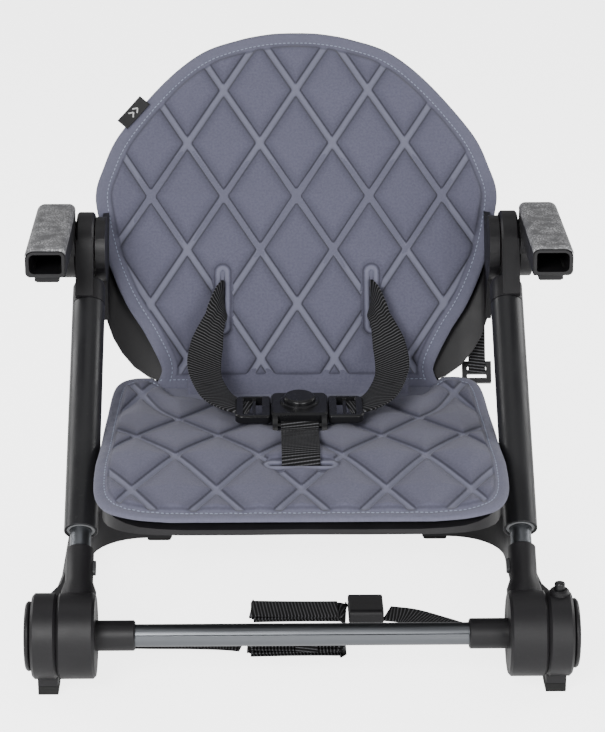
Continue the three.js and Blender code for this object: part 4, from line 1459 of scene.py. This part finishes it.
@dataclass
class HardParts:
    """The CAD pieces, which keep their shape and get their finish."""

    finishes: Finishes
    gap_inner: float = 183.06
    gap_outer: float = 203.06
    gap_low: Point = (0.0, 148.1, 279.2)
    gap_high: Point = (0.88, 213.9, 281.8)

    def dress(self, frame: dict) -> None:
        """Give each hard CAD node its finish, on a merged copy with softened edges.

        Args:
            frame: The loaded frame.
        """
        f = self.finishes
        by_start = {
            "armrest_cover": f.cover, "leg_sleeve": f.tube, "leg_tube": f.metal, "crossbar": f.metal,
            "sleeve_bushing": f.nylon, "front_foot": f.rubber, "rear_foot": f.rubber,
            "hub_bolt": f.steel, "pivot_bolt": f.steel, "fold_pin": f.steel, "snap_button": f.snap,
            "buckle": f.button, "release": f.button,
        }
        record = frame["record"]
        slots = {part["node"]: part["material_slot"] for part in record["subparts"]}
        for body, names in record["behaviour"]["bodies"].items():
            for name in names:
                if slots[name] in ("liner_fabric", "webbing", "label_black"):
                    continue
                found = [m for start, m in by_start.items() if name.startswith(start)]
                piece = self.softened(frame["nodes"][name], f"{name}_finished")
                piece.data.materials.append(found[0] if found else f.black)
                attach(piece, body)
                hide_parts(name)
                report(piece)

    def seal(self) -> None:
        """Close the narrow gaps beside each height trigger with dark strips, painted shade that stands in for
        the shadow inside the gaps.
        """
        low, high = np.array(self.gap_low), np.array(self.gap_high)
        corners = [(i, j, k) for i in (0, 1) for j in (0, 1) for k in (0, 1)]
        faces = [(0, 1, 3, 2), (4, 6, 7, 5), (0, 4, 5, 1), (2, 3, 7, 6), (0, 2, 6, 4), (1, 5, 7, 3)]
        for side in Side:
            for place, start in (("inner", self.gap_inner), ("outer", self.gap_outer)):
                points = np.array([low + np.array(c) * (high - low) for c in corners])
                points[:, 0] = side.value * (points[:, 0] + start)
                order = faces if side is Side.RIGHT else [face[::-1] for face in faces]
                name = f"trigger_gap_strip_{place}_{side.label}"
                piece = make_mesh(name, HUB.place(points), order, smooth=False)
                # Painted shade: the strips take the dark rubber finish so the gaps stay dark as if in shadow.
                piece.data.materials.append(self.finishes.rubber)
                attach(piece, "carriage")
                report(piece)

    @staticmethod
    def softened(node: bpy.types.Object, name: str) -> bpy.types.Object:
        """Copy a CAD node as a closed mesh with smooth curves and narrow rounded edges.

        Args:
            node: The CAD node.
            name: Name of the copy.

        Returns:
            The copy.
        """
        work = bmesh.new()
        work.from_mesh(node.data)
        bmesh.ops.transform(work, matrix=node.matrix_world, verts=work.verts)
        bmesh.ops.remove_doubles(work, verts=work.verts, dist=1e-6)
        flat = math.radians(0.5)
        bmesh.ops.dissolve_limit(work, angle_limit=flat, verts=work.verts, edges=work.edges)
        mesh = bpy.data.meshes.new(name)
        for face in work.faces:
            face.smooth = True
        for edge in work.edges:
            edge.smooth = not (edge.is_manifold and edge.calc_face_angle(0) > math.radians(32))
        work.to_mesh(mesh)
        work.free()
        piece = bpy.data.objects.new(name, mesh)
        bpy.context.scene.collection.objects.link(piece)
        soft = piece.modifiers.new("soft_edges", "BEVEL")
        soft.width = 0.00045
        soft.segments = 2
        soft.limit_method = "ANGLE"
        soft.angle_limit = math.radians(34)
        soft.use_clamp_overlap = True
        soft.harden_normals = False
        return plain_copy(piece)


@dataclass
class Studio:
    """A pale floor, soft light and the camera."""

    lens: float = 132.83
    camera_at: Point = (-27.34, -1832.90, 884.77)
    toward: Point = (0.01421, 0.94547, -0.32540)
    glow_seen: float = 3.6
    glow_on_chair: float = 0.5

    def build(self) -> None:
        """Set up the floor, the lights and the camera."""
        self.floor()
        for name, at, size, power in (
            ("key", (-0.8, -2.0, 1.3), 0.9, 50.0),
            ("fill", (1.2, -2.2, 0.7), 1.2, 32.0),
            ("top", (0.0, 0.2, 1.9), 1.2, 3.0),
            ("rim_left", (-1.4, 0.8, 0.8), 0.9, 12.0),
            ("rim_right", (1.4, 0.8, 0.8), 0.9, 12.0),
        ):
            self.light(name, at, size, power)
        world = bpy.data.worlds.new("studio")
        world.use_nodes = True
        world.node_tree.nodes["Background"].inputs[0].default_value = (1, 1, 1, 1)
        world.node_tree.nodes["Background"].inputs[1].default_value = 0.34
        bpy.context.scene.world = world
        camera = bpy.data.cameras.new("camera")
        camera.sensor_fit = "VERTICAL"
        camera.sensor_height = 36
        camera.lens = self.lens
        camera.clip_end = 50
        rig = bpy.data.objects.new("camera", camera)
        rig.location = Vector(HUB.place(np.array(self.camera_at)))
        rig.rotation_euler = Vector(self.toward).to_track_quat("-Z", "Y").to_euler()
        bpy.context.scene.collection.objects.link(rig)
        bpy.context.scene.camera = rig

    def floor(self) -> None:
        """Lay the floor, far wider than the view."""
        side, low = 12.0, -0.0002
        corners = [(x * side, y * side, low) for x, y in ((-1, -1), (1, -1), (1, 1), (-1, 1))]
        floor = make_mesh("floor", np.array(corners), [(0, 1, 2, 3)], smooth=False)
        s = Shader("pale_floor")
        speck = s.noise(s.place(), 40.0, 2.0)
        glow = {"Emission_Color": (1.0, 1.0, 1.0, 1.0)}
        material = s.end(s.mix(speck, (0.86, 0.86, 0.86), (0.90, 0.90, 0.90)), 0.6, **glow)
        surface = next(n for n in material.node_tree.nodes if n.type == "BSDF_PRINCIPLED")
        seen = s.node("ShaderNodeLightPath").outputs["Is Camera Ray"]
        strength = s.ramp(seen, 0.0, 1.0, self.glow_on_chair, self.glow_seen)
        s.feed(surface.inputs["Emission Strength"], strength)
        floor.data.materials.append(material)

    @staticmethod
    def light(name: str, at: Point, size: float, power: float) -> None:
        """Add a soft square light that faces the chair.

        Args:
            name: Its name.
            at: Where it is, in metres.
            size: Its side, in metres.
            power: In watts.
        """
        data = bpy.data.lights.new(name, "AREA")
        data.size = size
        data.energy = power
        lamp = bpy.data.objects.new(name, data)
        lamp.location = at
        aim = Vector((0, 0, 0.15)) - Vector(at)
        lamp.rotation_euler = aim.to_track_quat("-Z", "Y").to_euler()
        bpy.context.scene.collection.objects.link(lamp)


def main() -> None:
    """Build the chair's looks around the frame."""
    logging.basicConfig(level=logging.INFO, format="%(name)s: %(message)s")
    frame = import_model()
    Studio().build()
    finishes = Finishes.make()
    hard = HardParts(finishes)
    hard.dress(frame)
    hard.seal()
    Liner(finishes).build()
    Harness(finishes).build()
    ChairStrap(finishes).build()
    BackTrim(finishes).build()


if __name__ == "__main__":
    main()
